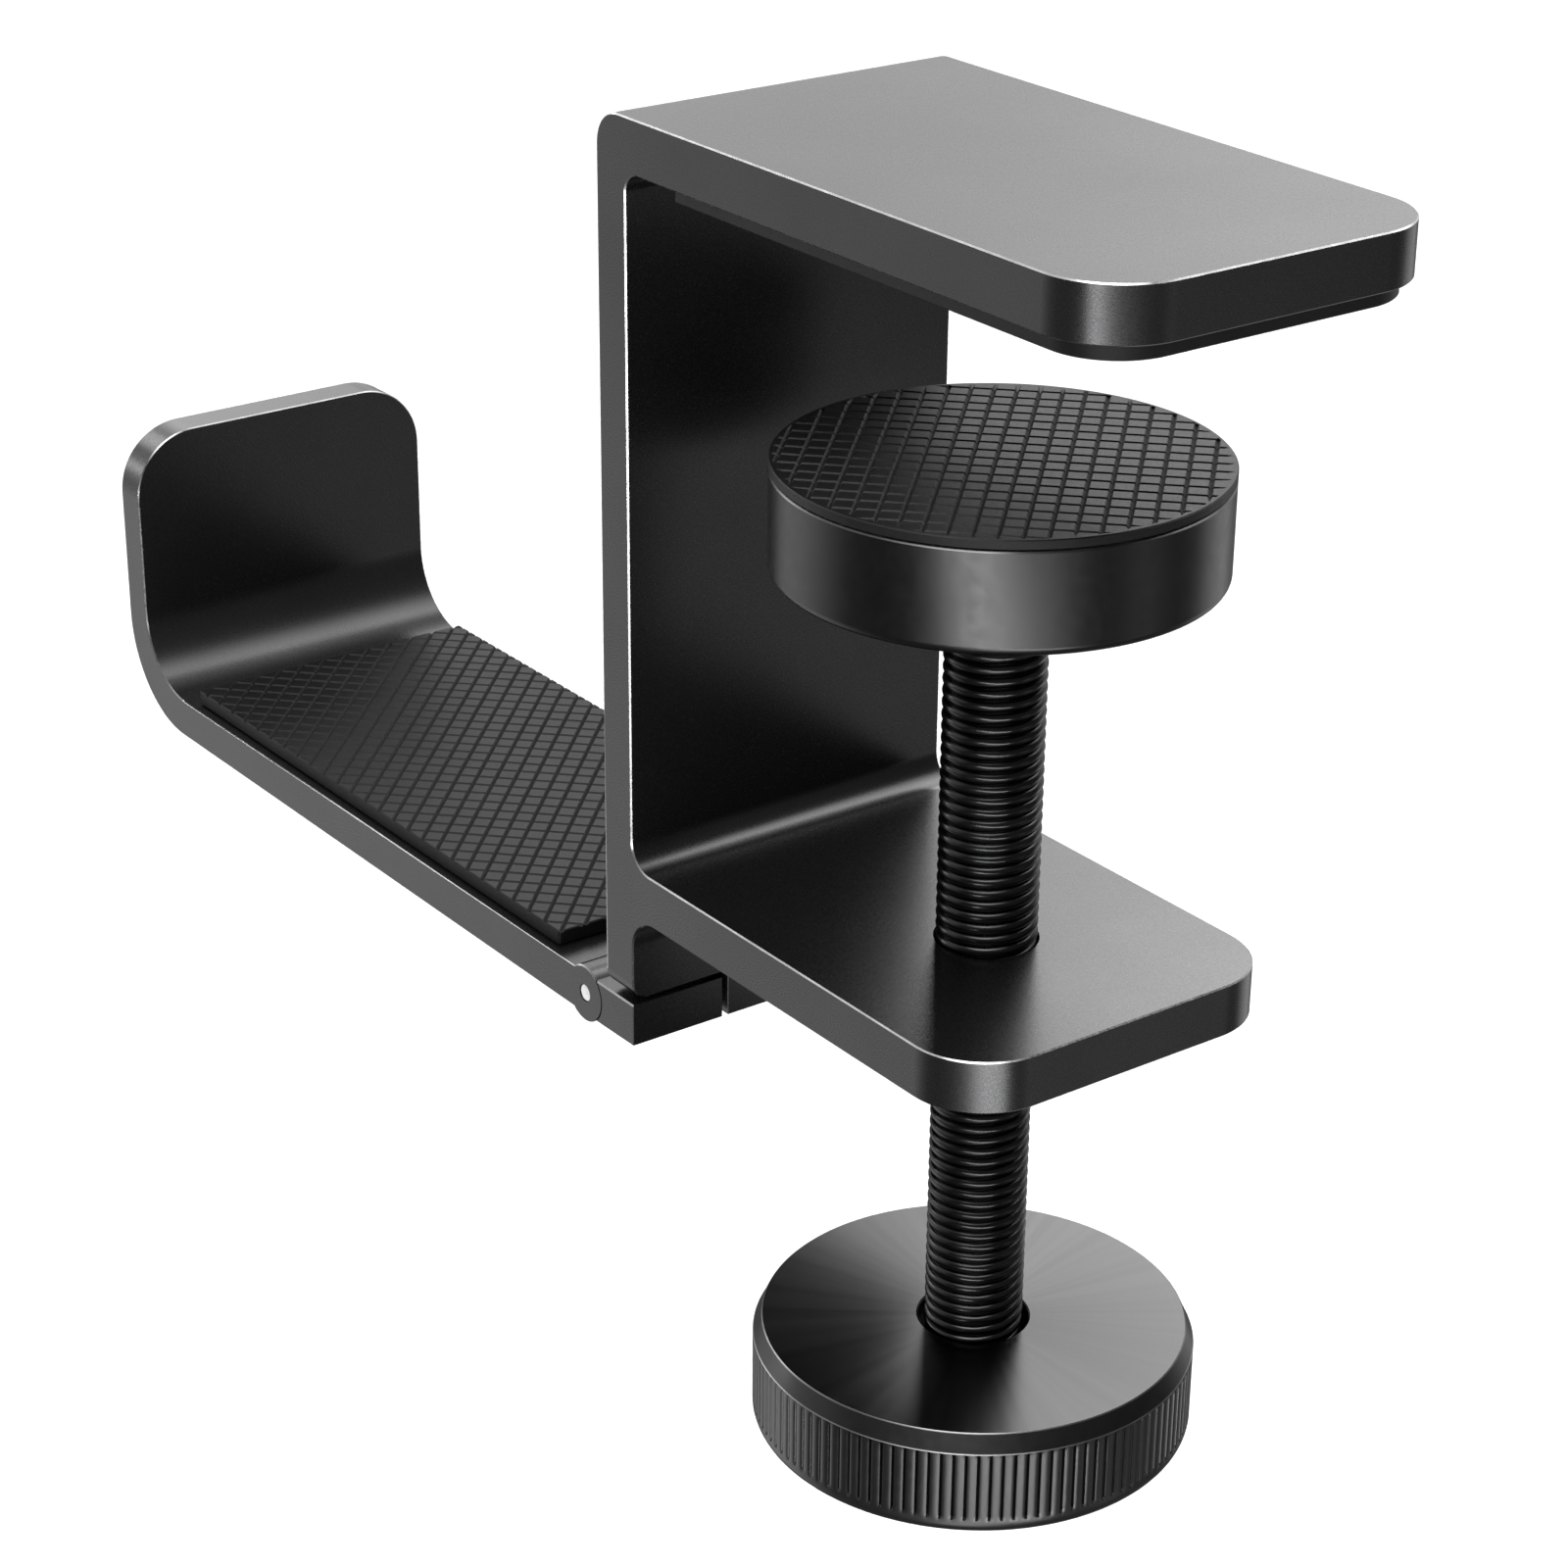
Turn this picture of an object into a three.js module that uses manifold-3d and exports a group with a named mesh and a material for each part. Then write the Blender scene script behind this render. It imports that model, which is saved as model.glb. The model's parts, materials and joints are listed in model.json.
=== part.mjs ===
// Folding under-desk headphone hook: an aluminium C clamp with a screw and a swivelling
// pressure disc, and a hook arm hinged to the clamp's tail.
// Millimetres, +Z up, +X is the direction in which the clamp opens, Y is the width.
// The origin is where the clamp screw's axis meets the top jaw pad's underside, which
// is the face that rests on the desk top.
import * as THREE from 'three';
import { mergeVertices } from 'three/addons/utils/BufferGeometryUtils.js';
import Module from 'manifold-3d';

const wasm = await Module();
wasm.setup();

// ---- Driving dimensions ------------------------------------------------------------

const WIDTH = 40;                 // extrusion width of the clamp frame and the hook arm
const HALF = WIDTH / 2;
const SCREW_TO_BACK = 38;         // screw axis to the back of the web
const WEB = 4.8;                  // web wall
const TOP_ARM = 5.4;              // top arm thickness
const TOP_TIP = 36;               // x of the top arm's tip
const LOWER_ARM = 5.5;            // lower arm thickness
const LOWER_TIP = 22;             // x of the lower arm's tip
const LOWER_TOP = -71.3;          // z of the lower arm's upper face
const TIP_RADIUS = 8;             // plan corners of both arms
const BACK_RADIUS = 3.5;          // outer corner of web and top arm
const TOP_FILLET = 2;             // inner corner of web and top arm
const LOWER_FILLET = 3;           // inner corner of web and lower arm
const TAIL_FILLET = 4;            // corner below the lower arm
const TAIL_CORNER = 2;            // bottom corners of the tail

const JAW_PAD = 1.35;             // rubber under the top arm
const FILM = 0.15;                // bonding films
const FILM_GAP = 0.05;            // air left on each side of a film
const PAD_INSET = 1.2;            // pads stand back from the aluminium edges

const PIN_X = -42.4;              // hinge pin axis
const PIN_Z = -89.8;
const PIN_RADIUS = 0.95;
const BARREL = 3.2;               // radius of the hinge knuckles
const TONGUE = 15.6;              // width of the clamp's centre knuckle
const SLIT = 0.7;                 // slit between centre knuckle and each prong
const STOP_GAP = 0.5;             // heel to tail when the hook is open

const PLATE = 4.8;                // hook arm plate
const LIP = 4.4;                  // hook arm lip
const ARM_REACH = 98.7;           // pin axis to the lip's inner face
const LIP_TOP = 34;               // lip's top edge above the pin axis
const BEND_INNER = 9;
const BEND_OUTER = 12.5;
const LIP_RADIUS = 8;
const ARM_PAD = 1.6;
const ARM_PAD_START = 6.7;        // pad's hinge end, measured from the pin axis
const ARM_PAD_END = 87.9;         // pad's lip end, measured from the pin axis

const THREAD_RADIUS = 4.95;       // M10 x 1.25 clamp screw
const SCREW_TOP = -30.6;
const THREAD_END = -118.2;
const SPIGOT_RADIUS = 3.4;        // flatted end that drives the knob
const SPIGOT_FLAT = 2.5;
const SPIGOT_END = -122.2;

const DISC_RADIUS = 22;
const DISC_PAD_TOP = -21.2;
const DISC_PAD = 0.9;
const DISC_BOTTOM = -32.55;
const DISC_ROUND = 1;

const KNOB_RADIUS = 23;
const KNOB_FACE_RADIUS = 22;
const KNOB_TOP = -115.4;
const KNOB_SHOULDER = -117.3;
const KNOB_BASE_EDGE = -125.6;
const KNOB_BASE = -127;
const KNOB_MOUTH_RADIUS = 5.8;

const FIT = 0.3;                  // clearance between pieces that touch on the real hook
const PAST = 6;                   // how far a cutting tool reaches past the stock

const BACK = -SCREW_TO_BACK;
const WEB_FRONT = BACK + WEB;
const ARM_UNDERSIDE = JAW_PAD + FILM + 2 * FILM_GAP;
const TOP = ARM_UNDERSIDE + TOP_ARM;
const LOWER_BOTTOM = LOWER_TOP - LOWER_ARM;
const TAIL_BOTTOM = PIN_Z + PLATE / 2 + STOP_GAP;
const HEEL_BOTTOM = PIN_Z - PLATE / 2;
const PLATE_TOP = PIN_Z + PLATE / 2;
const DISC_TOP = DISC_PAD_TOP - DISC_PAD - FILM - 2 * FILM_GAP;

// ---- Materials ---------------------------------------------------------------------

function material(color, roughness, metalness) {
  return new THREE.MeshStandardMaterial({ color, roughness, metalness });
}

const ANODISED = [0x3b3b3d, 0.38, 0.9];
const TURNED = [0x2f2f31, 0.28, 0.9];
const BLACK_OXIDE = [0x161617, 0.3, 0.85];
const STEEL = [0xc9cacc, 0.25, 1];
const RUBBER = [0x1d1d1e, 0.75, 0];
const NYLON = [0xd9d7cf, 0.5, 0];
const TAPE = [0x8f8a80, 0.7, 0];

// ---- Geometry helpers --------------------------------------------------------------

// Merged, triangle-indexed copy with positions only and no collapsed triangles.
function clean(geometry) {
  const source = geometry.clone();
  source.deleteAttribute('normal');
  source.deleteAttribute('uv');
  const merged = mergeVertices(source, 1e-4);
  const index = merged.index.array;
  const kept = [];
  for (let i = 0; i < index.length; i += 3) {
    const [a, b, c] = [index[i], index[i + 1], index[i + 2]];
    if (a !== b && b !== c && c !== a) {
      kept.push(a, b, c);
    }
  }
  merged.setIndex(kept);
  return merged;
}

function toSolid(geometry) {
  const merged = clean(geometry);
  return new wasm.Manifold(new wasm.Mesh({
    numProp: 3,
    vertProperties: new Float32Array(merged.attributes.position.array),
    triVerts: new Uint32Array(merged.index.array),
  }));
}

function toGeometry(solid) {
  const mesh = solid.getMesh();
  const geometry = new THREE.BufferGeometry();
  geometry.setAttribute('position', new THREE.BufferAttribute(mesh.vertProperties, 3));
  geometry.setIndex(new THREE.BufferAttribute(mesh.triVerts, 1));
  geometry.computeVertexNormals();
  return geometry;
}

// Extrudes an XZ outline along Y between y0 and y1.
function alongY(shape, y0, y1, curveSegments = 8) {
  const geometry = new THREE.ExtrudeGeometry(shape, { depth: y1 - y0, bevelEnabled: false, curveSegments });
  geometry.rotateX(Math.PI / 2);
  geometry.translate(0, y1, 0);
  return geometry;
}

// Extrudes an XY outline along Z between z0 and z1.
function alongZ(shape, z0, z1, curveSegments = 8) {
  const geometry = new THREE.ExtrudeGeometry(shape, { depth: z1 - z0, bevelEnabled: false, curveSegments });
  geometry.translate(0, 0, z0);
  return geometry;
}

// Extrudes a YZ outline along X between x0 and x1.
function alongX(shape, x0, x1, curveSegments = 8) {
  const geometry = new THREE.ExtrudeGeometry(shape, { depth: x1 - x0, bevelEnabled: false, curveSegments });
  geometry.rotateY(Math.PI / 2);
  geometry.rotateX(Math.PI / 2);
  geometry.translate(x0, 0, 0);
  return geometry;
}

function box(x0, x1, y0, y1, z0, z1) {
  const geometry = new THREE.BoxGeometry(x1 - x0, y1 - y0, z1 - z0);
  geometry.translate((x0 + x1) / 2, (y0 + y1) / 2, (z0 + z1) / 2);
  return geometry;
}

function cylinderZ(radius, z0, z1, segments = 48) {
  const geometry = new THREE.CylinderGeometry(radius, radius, z1 - z0, segments);
  geometry.rotateX(Math.PI / 2);
  geometry.translate(0, 0, (z0 + z1) / 2);
  return geometry;
}

function cylinderY(radius, x, z, y0, y1, segments = 32) {
  const geometry = new THREE.CylinderGeometry(radius, radius, y1 - y0, segments);
  geometry.translate(x, (y0 + y1) / 2, z);
  return geometry;
}

// Turns a closed or axis-to-axis [radius, z] profile about Z, listed from bottom to top
// on the outside.
function turned(profile, segments = 48) {
  const points = profile.map(([radius, z]) => new THREE.Vector2(radius, z));
  const geometry = new THREE.LatheGeometry(points, segments);
  geometry.rotateX(Math.PI / 2);
  return geometry;
}

// Wedge that trims the corner at (a, b) to a radius; the signs give the corner's direction.
function cornerShape(a, b, signA, signB, radius) {
  const margin = 2;
  const shape = new THREE.Shape();
  const steps = 8;
  shape.moveTo(a + signA * margin, b + signB * margin);
  shape.lineTo(a - signA * radius, b + signB * margin);
  for (let i = 0; i <= steps; i += 1) {
    const angle = (Math.PI / 2) * (i / steps);
    shape.lineTo(
      a - signA * radius * (1 - Math.sin(angle)),
      b - signB * radius * (1 - Math.cos(angle)),
    );
  }
  shape.lineTo(a + signA * margin, b - signB * radius);
  shape.closePath();
  return shape;
}

const model = new THREE.Group();

function add(name, geometry, look, parent = model) {
  const mesh = new THREE.Mesh(geometry, material(...look));
  mesh.name = name;
  parent.add(mesh);
  return mesh;
}

// ---- Clamp frame -------------------------------------------------------------------

// Adds the fillet between the web's front face and an arm, centred at height z.
function innerCorner(shape, z, radius, from, to) {
  const x = WEB_FRONT + radius;
  shape.lineTo(x + radius * Math.cos(from), z + radius * Math.sin(from));
  shape.absarc(x, z, radius, from, to, true);
}

function frameProfile() {
  const shape = new THREE.Shape();
  shape.moveTo(BACK, TAIL_BOTTOM);
  shape.lineTo(WEB_FRONT, TAIL_BOTTOM);
  innerCorner(shape, LOWER_BOTTOM - TAIL_FILLET, TAIL_FILLET, Math.PI, Math.PI / 2);
  shape.lineTo(LOWER_TIP, LOWER_BOTTOM);
  shape.lineTo(LOWER_TIP, LOWER_TOP);
  innerCorner(shape, LOWER_TOP + LOWER_FILLET, LOWER_FILLET, -Math.PI / 2, -Math.PI);
  innerCorner(shape, ARM_UNDERSIDE - TOP_FILLET, TOP_FILLET, Math.PI, Math.PI / 2);
  shape.lineTo(TOP_TIP, ARM_UNDERSIDE);
  shape.lineTo(TOP_TIP, TOP);
  shape.lineTo(BACK + BACK_RADIUS, TOP);
  shape.absarc(BACK + BACK_RADIUS, TOP - BACK_RADIUS, BACK_RADIUS, Math.PI / 2, Math.PI, false);
  shape.closePath();
  return shape;
}

// Centre knuckle: a barrel round the pin and a block that joins it to the tail.
function tongueSolid() {
  const half = TONGUE / 2;
  return toSolid(cylinderY(BARREL, PIN_X, PIN_Z, -half, half))
    .add(toSolid(box(PIN_X, WEB_FRONT, -half, half, HEEL_BOTTOM, PLATE_TOP)))
    .add(toSolid(box(BACK, WEB_FRONT, -half, half, PLATE_TOP - STOP_GAP, TAIL_BOTTOM + STOP_GAP)));
}

function clampFrame() {
  let solid = toSolid(alongY(frameProfile(), -HALF, HALF)).add(tongueSolid());
  for (const side of [-1, 1]) {
    const topCorner = cornerShape(TOP_TIP, side * HALF, 1, side, TIP_RADIUS);
    const lowerCorner = cornerShape(LOWER_TIP, side * HALF, 1, side, TIP_RADIUS);
    const tailCorner = cornerShape(side * HALF, TAIL_BOTTOM, side, -1, TAIL_CORNER);
    solid = solid.subtract(toSolid(alongZ(topCorner, ARM_UNDERSIDE - PAST, TOP + PAST)));
    solid = solid.subtract(toSolid(alongZ(lowerCorner, LOWER_BOTTOM - PAST, LOWER_TOP + PAST)));
    solid = solid.subtract(toSolid(alongX(tailCorner, BACK - PAST, WEB_FRONT + PAST)));
  }
  solid = solid.subtract(toSolid(cylinderZ(THREAD_RADIUS + FIT, LOWER_BOTTOM - PAST, LOWER_TOP + PAST)));
  solid = solid.subtract(toSolid(cylinderY(PIN_RADIUS + FIT, PIN_X, PIN_Z, -HALF, HALF, 16)));
  return toGeometry(solid);
}

add('clamp_frame', clampFrame(), ANODISED);

// ---- Top jaw pad -------------------------------------------------------------------

const JAW_PAD_BACK = WEB_FRONT + 6;
const JAW_PAD_TIP = TOP_TIP - PAD_INSET;
const FILM_INSET = 0.6;           // films stand back from the pads' edges

function jawOutline(inset) {
  const shape = new THREE.Shape();
  const x0 = JAW_PAD_BACK + inset;
  const x1 = JAW_PAD_TIP - inset;
  const y = HALF - PAD_INSET - inset;
  const tip = TIP_RADIUS - PAD_INSET;
  const heel = 1;
  shape.moveTo(x0 + heel, -y);
  shape.lineTo(x1 - tip, -y);
  shape.absarc(x1 - tip, -y + tip, tip, -Math.PI / 2, 0, false);
  shape.lineTo(x1, y - tip);
  shape.absarc(x1 - tip, y - tip, tip, 0, Math.PI / 2, false);
  shape.lineTo(x0 + heel, y);
  shape.absarc(x0 + heel, y - heel, heel, Math.PI / 2, Math.PI, false);
  shape.lineTo(x0, -y + heel);
  shape.absarc(x0 + heel, -y + heel, heel, Math.PI, Math.PI * 1.5, false);
  shape.closePath();
  return shape;
}

add('top_jaw_pad', alongZ(jawOutline(0), 0, JAW_PAD, 6), RUBBER);

const JAW_FILM = JAW_PAD + FILM_GAP;
add('top_jaw_adhesive', alongZ(jawOutline(FILM_INSET), JAW_FILM, JAW_FILM + FILM, 6), TAPE);

// ---- Clamp screw -------------------------------------------------------------------

const SWIVEL_BOLT_RADIUS = 2.5;   // M5 screw in the clamp screw's upper end
const KNOB_BOLT_RADIUS = 2;       // M4 screw in its lower end
const TOP_BORE_END = -41;
const LOWER_BORE_END = -112;

function clampScrew() {
  const chamfer = 0.6;
  const spigot = toSolid(cylinderZ(SPIGOT_RADIUS, SPIGOT_END, THREAD_END + 1, 32))
    .subtract(toSolid(box(SPIGOT_FLAT, PAST, -PAST, PAST, SPIGOT_END - PAST, THREAD_END)));
  const thread = toSolid(turned([
    [0, THREAD_END],
    [THREAD_RADIUS - chamfer, THREAD_END],
    [THREAD_RADIUS, THREAD_END + chamfer],
    [THREAD_RADIUS, SCREW_TOP - chamfer],
    [THREAD_RADIUS - chamfer, SCREW_TOP],
    [0, SCREW_TOP],
  ]));
  const solid = thread
    .add(spigot)
    .subtract(toSolid(cylinderZ(SWIVEL_BOLT_RADIUS + FIT, TOP_BORE_END, SCREW_TOP + PAST, 24)))
    .subtract(toSolid(cylinderZ(KNOB_BOLT_RADIUS + FIT, SPIGOT_END - PAST, LOWER_BORE_END, 24)));
  return toGeometry(solid);
}

add('clamp_screw', clampScrew(), BLACK_OXIDE);

// ---- Pressure disc and its swivel --------------------------------------------------

const RECESS_RADIUS = 6.4;        // underside recess over the screw's end
const DISC_FLOOR = -29.3;         // underside of the disc's floor inside that recess
const FLOOR_TOP = -26.5;
const WELL_RADIUS = 7;            // well for the swivel screw's head
const SHOULDER_RADIUS = 3.6;
const HEAD_RADIUS = 5.5;
const HEAD_TOP = -23;
const HEAD_BOTTOM = -25.4;
const HEAD_CHAMFER = 0.4;
const SOCKET_RADIUS = 1.9;        // corner radius of the screws' hexagon sockets
const SOCKET_DEPTH = 1.5;
const WASHER = 0.7;
const WASHER_RADIUS = 6;

add('pressure_disc', turned([
  [SHOULDER_RADIUS + FIT, DISC_FLOOR],
  [RECESS_RADIUS, DISC_FLOOR],
  [RECESS_RADIUS, DISC_BOTTOM],
  [DISC_RADIUS - DISC_ROUND, DISC_BOTTOM],
  [DISC_RADIUS - 0.3, DISC_BOTTOM + 0.3],
  [DISC_RADIUS, DISC_BOTTOM + DISC_ROUND],
  [DISC_RADIUS, DISC_TOP],
  [WELL_RADIUS, DISC_TOP],
  [WELL_RADIUS, FLOOR_TOP],
  [SHOULDER_RADIUS + FIT, FLOOR_TOP],
  [SHOULDER_RADIUS + FIT, DISC_FLOOR],
], 64), TURNED);

function plate(radius, z0, z1, segments) {
  return turned([[0, z0], [radius, z0], [radius, z1], [0, z1]], segments);
}

function ring(inner, outer, z0, z1, segments = 32) {
  return turned([[inner, z0], [outer, z0], [outer, z1], [inner, z1], [inner, z0]], segments);
}

add('disc_grip_pad', plate(DISC_RADIUS, DISC_PAD_TOP - DISC_PAD, DISC_PAD_TOP, 64), RUBBER);

const DISC_FILM = DISC_TOP + FILM_GAP;
add('disc_adhesive', plate(DISC_RADIUS - FILM_INSET, DISC_FILM, DISC_FILM + FILM, 48), TAPE);

// Shoulder screw that holds the disc on the clamp screw and lets it swivel.
function swivelScrew() {
  const body = toSolid(turned([
    [0, TOP_BORE_END + 1],
    [SWIVEL_BOLT_RADIUS, TOP_BORE_END + 1],
    [SWIVEL_BOLT_RADIUS, SCREW_TOP + FIT],
    [SHOULDER_RADIUS, SCREW_TOP + FIT],
    [SHOULDER_RADIUS, HEAD_BOTTOM],
    [HEAD_RADIUS, HEAD_BOTTOM],
    [HEAD_RADIUS, HEAD_TOP - HEAD_CHAMFER],
    [HEAD_RADIUS - HEAD_CHAMFER, HEAD_TOP],
    [0, HEAD_TOP],
  ], 32));
  const socket = toSolid(cylinderZ(SOCKET_RADIUS, HEAD_TOP - SOCKET_DEPTH, HEAD_TOP + PAST, 6));
  return toGeometry(body.subtract(socket));
}

add('swivel_screw', swivelScrew(), STEEL);
add(
  'swivel_thrust_washer',
  ring(SHOULDER_RADIUS + FIT, WASHER_RADIUS, SCREW_TOP + FIT, DISC_FLOOR - FIT),
  NYLON,
);

const HEAD_WASHER_BASE = FLOOR_TOP + (HEAD_BOTTOM - FLOOR_TOP - WASHER) / 2;
add(
  'swivel_head_washer',
  ring(SHOULDER_RADIUS + FIT, WASHER_RADIUS, HEAD_WASHER_BASE, HEAD_WASHER_BASE + WASHER),
  NYLON,
);

// ---- Knob --------------------------------------------------------------------------

const MOUTH_FLOOR = THREAD_END - FIT;
const COUNTERBORE_TOP = -122.6;
const COUNTERBORE_RADIUS = 7.5;
const KNOB_BASE_RADIUS = 21.8;
const KNOB_WASHER = 1;
const KNOB_SCREW_HEAD = 4.5;
const KNOB_SCREW_HEAD_HEIGHT = 2.2;

function knobSolid() {
  const body = toSolid(turned([
    [0, KNOB_BASE],
    [KNOB_BASE_RADIUS, KNOB_BASE],
    [(KNOB_BASE_RADIUS + 2 * KNOB_RADIUS) / 3, KNOB_BASE + 0.5],
    [KNOB_RADIUS, KNOB_BASE_EDGE],
    [KNOB_RADIUS, KNOB_SHOULDER],
    [KNOB_FACE_RADIUS, KNOB_TOP],
    [0, KNOB_TOP],
  ], 72));
  const flatted = toSolid(cylinderZ(SPIGOT_RADIUS + FIT, COUNTERBORE_TOP - 1, MOUTH_FLOOR + 1, 32))
    .subtract(toSolid(box(SPIGOT_FLAT + FIT, PAST, -PAST, PAST, KNOB_BASE, KNOB_TOP)));
  return body
    .subtract(toSolid(cylinderZ(KNOB_MOUTH_RADIUS, MOUTH_FLOOR, KNOB_TOP + PAST)))
    .subtract(flatted)
    .subtract(toSolid(cylinderZ(COUNTERBORE_RADIUS, KNOB_BASE - PAST, COUNTERBORE_TOP, 32)));
}

add('knob', toGeometry(knobSolid()), TURNED);

// Screw and washer that pull the knob onto the clamp screw's flatted end.
function retainingScrew() {
  const headTop = COUNTERBORE_TOP - KNOB_WASHER - 2 * FIT;
  const headBottom = headTop - KNOB_SCREW_HEAD_HEIGHT;
  const body = toSolid(turned([
    [0, headBottom],
    [KNOB_SCREW_HEAD - HEAD_CHAMFER, headBottom],
    [KNOB_SCREW_HEAD, headBottom + HEAD_CHAMFER],
    [KNOB_SCREW_HEAD, headTop],
    [KNOB_BOLT_RADIUS, headTop],
    [KNOB_BOLT_RADIUS, LOWER_BORE_END - 1],
    [0, LOWER_BORE_END - 1],
  ], 32));
  const socket = toSolid(cylinderZ(SOCKET_RADIUS, headBottom - PAST, headBottom + SOCKET_DEPTH, 6));
  return toGeometry(body.subtract(socket));
}

add('knob_retaining_screw', retainingScrew(), STEEL);

const KNOB_WASHER_TOP = COUNTERBORE_TOP - FIT;
add(
  'knob_washer',
  ring(KNOB_BOLT_RADIUS + FIT, WASHER_RADIUS, KNOB_WASHER_TOP - KNOB_WASHER, KNOB_WASHER_TOP),
  STEEL,
);

// ---- Hook arm ----------------------------------------------------------------------
// The arm group's origin is the hinge pin's axis.

const arm = new THREE.Group();
arm.position.set(PIN_X, 0, PIN_Z);
model.add(arm);

const HEEL_FRONT = WEB_FRONT - PIN_X;
const SLOT_RELIEF = 0.5;          // slot end to centre knuckle
const HINGE_WASHER = 0.4;
const HINGE_WASHER_RADIUS = 2.7;
const PIN_RECESS = 0.05;          // pin ends below the prongs' sides
const LIP_INNER = -ARM_REACH;
const LIP_OUTER = LIP_INNER - LIP;

function armProfile() {
  const shape = new THREE.Shape();
  const low = -PLATE / 2;
  const high = PLATE / 2;
  const meet = Math.asin(high / BARREL);
  const reach = BARREL * Math.cos(meet);
  shape.moveTo(LIP_OUTER + BEND_OUTER, low);
  shape.lineTo(-reach, low);
  shape.absarc(0, 0, BARREL, Math.PI + meet, 2 * Math.PI - meet, false);
  shape.lineTo(HEEL_FRONT, low);
  shape.lineTo(HEEL_FRONT, high);
  shape.lineTo(reach, high);
  shape.absarc(0, 0, BARREL, meet, Math.PI - meet, false);
  shape.lineTo(LIP_INNER + BEND_INNER, high);
  shape.absarc(LIP_INNER + BEND_INNER, high + BEND_INNER, BEND_INNER, -Math.PI / 2, -Math.PI, true);
  shape.lineTo(LIP_INNER, LIP_TOP);
  shape.lineTo(LIP_OUTER, LIP_TOP);
  shape.lineTo(LIP_OUTER, low + BEND_OUTER);
  shape.absarc(LIP_OUTER + BEND_OUTER, low + BEND_OUTER, BEND_OUTER, Math.PI, Math.PI * 1.5, false);
  shape.closePath();
  return shape;
}

function hookArm() {
  const slot = TONGUE / 2 + SLIT;
  const slotEnd = -(BARREL + SLOT_RELIEF);
  let solid = toSolid(alongY(armProfile(), -HALF, HALF, 10));
  solid = solid.subtract(toSolid(box(slotEnd, HEEL_FRONT + PAST, -slot, slot, -PAST, PAST)));
  for (const side of [-1, 1]) {
    const lipCorner = cornerShape(side * HALF, LIP_TOP, side, 1, LIP_RADIUS);
    solid = solid.subtract(toSolid(alongX(lipCorner, LIP_OUTER - PAST, LIP_INNER + PAST)));
  }
  solid = solid.subtract(toSolid(cylinderY(PIN_RADIUS + FIT, 0, 0, -HALF - PAST, HALF + PAST, 16)));
  return toGeometry(solid);
}

add('hook_arm', hookArm(), ANODISED, arm);

function armPad(inset, z0, z1) {
  const y = HALF - PAD_INSET - inset;
  return box(-ARM_PAD_END + inset, -ARM_PAD_START - inset, -y, y, z0, z1);
}

const PAD_BASE = PLATE / 2 + FILM_GAP;
add('arm_adhesive', armPad(FILM_INSET, PAD_BASE, PAD_BASE + FILM), TAPE, arm);
add('arm_grip_pad', armPad(0, PAD_BASE + FILM + FILM_GAP, PAD_BASE + FILM + FILM_GAP + ARM_PAD), RUBBER, arm);

// ---- Hinge -------------------------------------------------------------------------

function hingePin() {
  const chamfer = 0.15;
  const end = HALF - PIN_RECESS;
  const geometry = turned([
    [0, -end],
    [PIN_RADIUS - chamfer, -end],
    [PIN_RADIUS, -end + chamfer],
    [PIN_RADIUS, end - chamfer],
    [PIN_RADIUS - chamfer, end],
    [0, end],
  ], 20);
  geometry.rotateX(Math.PI / 2);
  return geometry;
}

add('hinge_pin', hingePin(), STEEL, arm);

function hingeWasher(side) {
  const half = HINGE_WASHER / 2;
  const geometry = ring(PIN_RADIUS + FIT, HINGE_WASHER_RADIUS, -half, half, 24);
  geometry.rotateX(Math.PI / 2);
  geometry.translate(0, side * (TONGUE / 2 + SLIT / 2), 0);
  return geometry;
}

add('hinge_washer_left', hingeWasher(1), NYLON, arm);
add('hinge_washer_right', hingeWasher(-1), NYLON, arm);

export default model;
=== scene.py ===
import json
import math

import bmesh
import bpy
from mathutils import Matrix, Quaternion, Vector


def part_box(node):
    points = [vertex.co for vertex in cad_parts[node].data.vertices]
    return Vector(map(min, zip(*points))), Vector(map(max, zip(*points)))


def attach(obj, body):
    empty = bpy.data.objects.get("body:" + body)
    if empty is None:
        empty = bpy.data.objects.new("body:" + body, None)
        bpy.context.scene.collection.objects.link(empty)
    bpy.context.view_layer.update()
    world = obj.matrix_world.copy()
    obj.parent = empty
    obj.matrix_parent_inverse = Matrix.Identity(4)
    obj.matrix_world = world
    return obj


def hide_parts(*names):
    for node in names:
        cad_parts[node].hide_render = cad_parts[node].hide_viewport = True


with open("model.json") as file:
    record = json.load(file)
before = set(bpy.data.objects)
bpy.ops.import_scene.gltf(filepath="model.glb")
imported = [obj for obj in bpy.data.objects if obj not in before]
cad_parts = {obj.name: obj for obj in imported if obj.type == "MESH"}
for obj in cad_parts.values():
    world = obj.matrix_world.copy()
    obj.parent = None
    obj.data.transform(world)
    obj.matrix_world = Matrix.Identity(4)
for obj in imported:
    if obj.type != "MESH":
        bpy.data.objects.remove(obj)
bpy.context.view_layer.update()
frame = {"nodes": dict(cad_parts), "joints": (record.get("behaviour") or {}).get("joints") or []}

MM = 0.001
TURN = 2 * math.pi


# ---- Sizes, in millimetres -----------------------------------------------------------


def box_mm(node):
    """Lowest and highest corner of a CAD node's box, in millimetres."""
    low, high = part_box(node)
    return low / MM, high / MM


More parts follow.
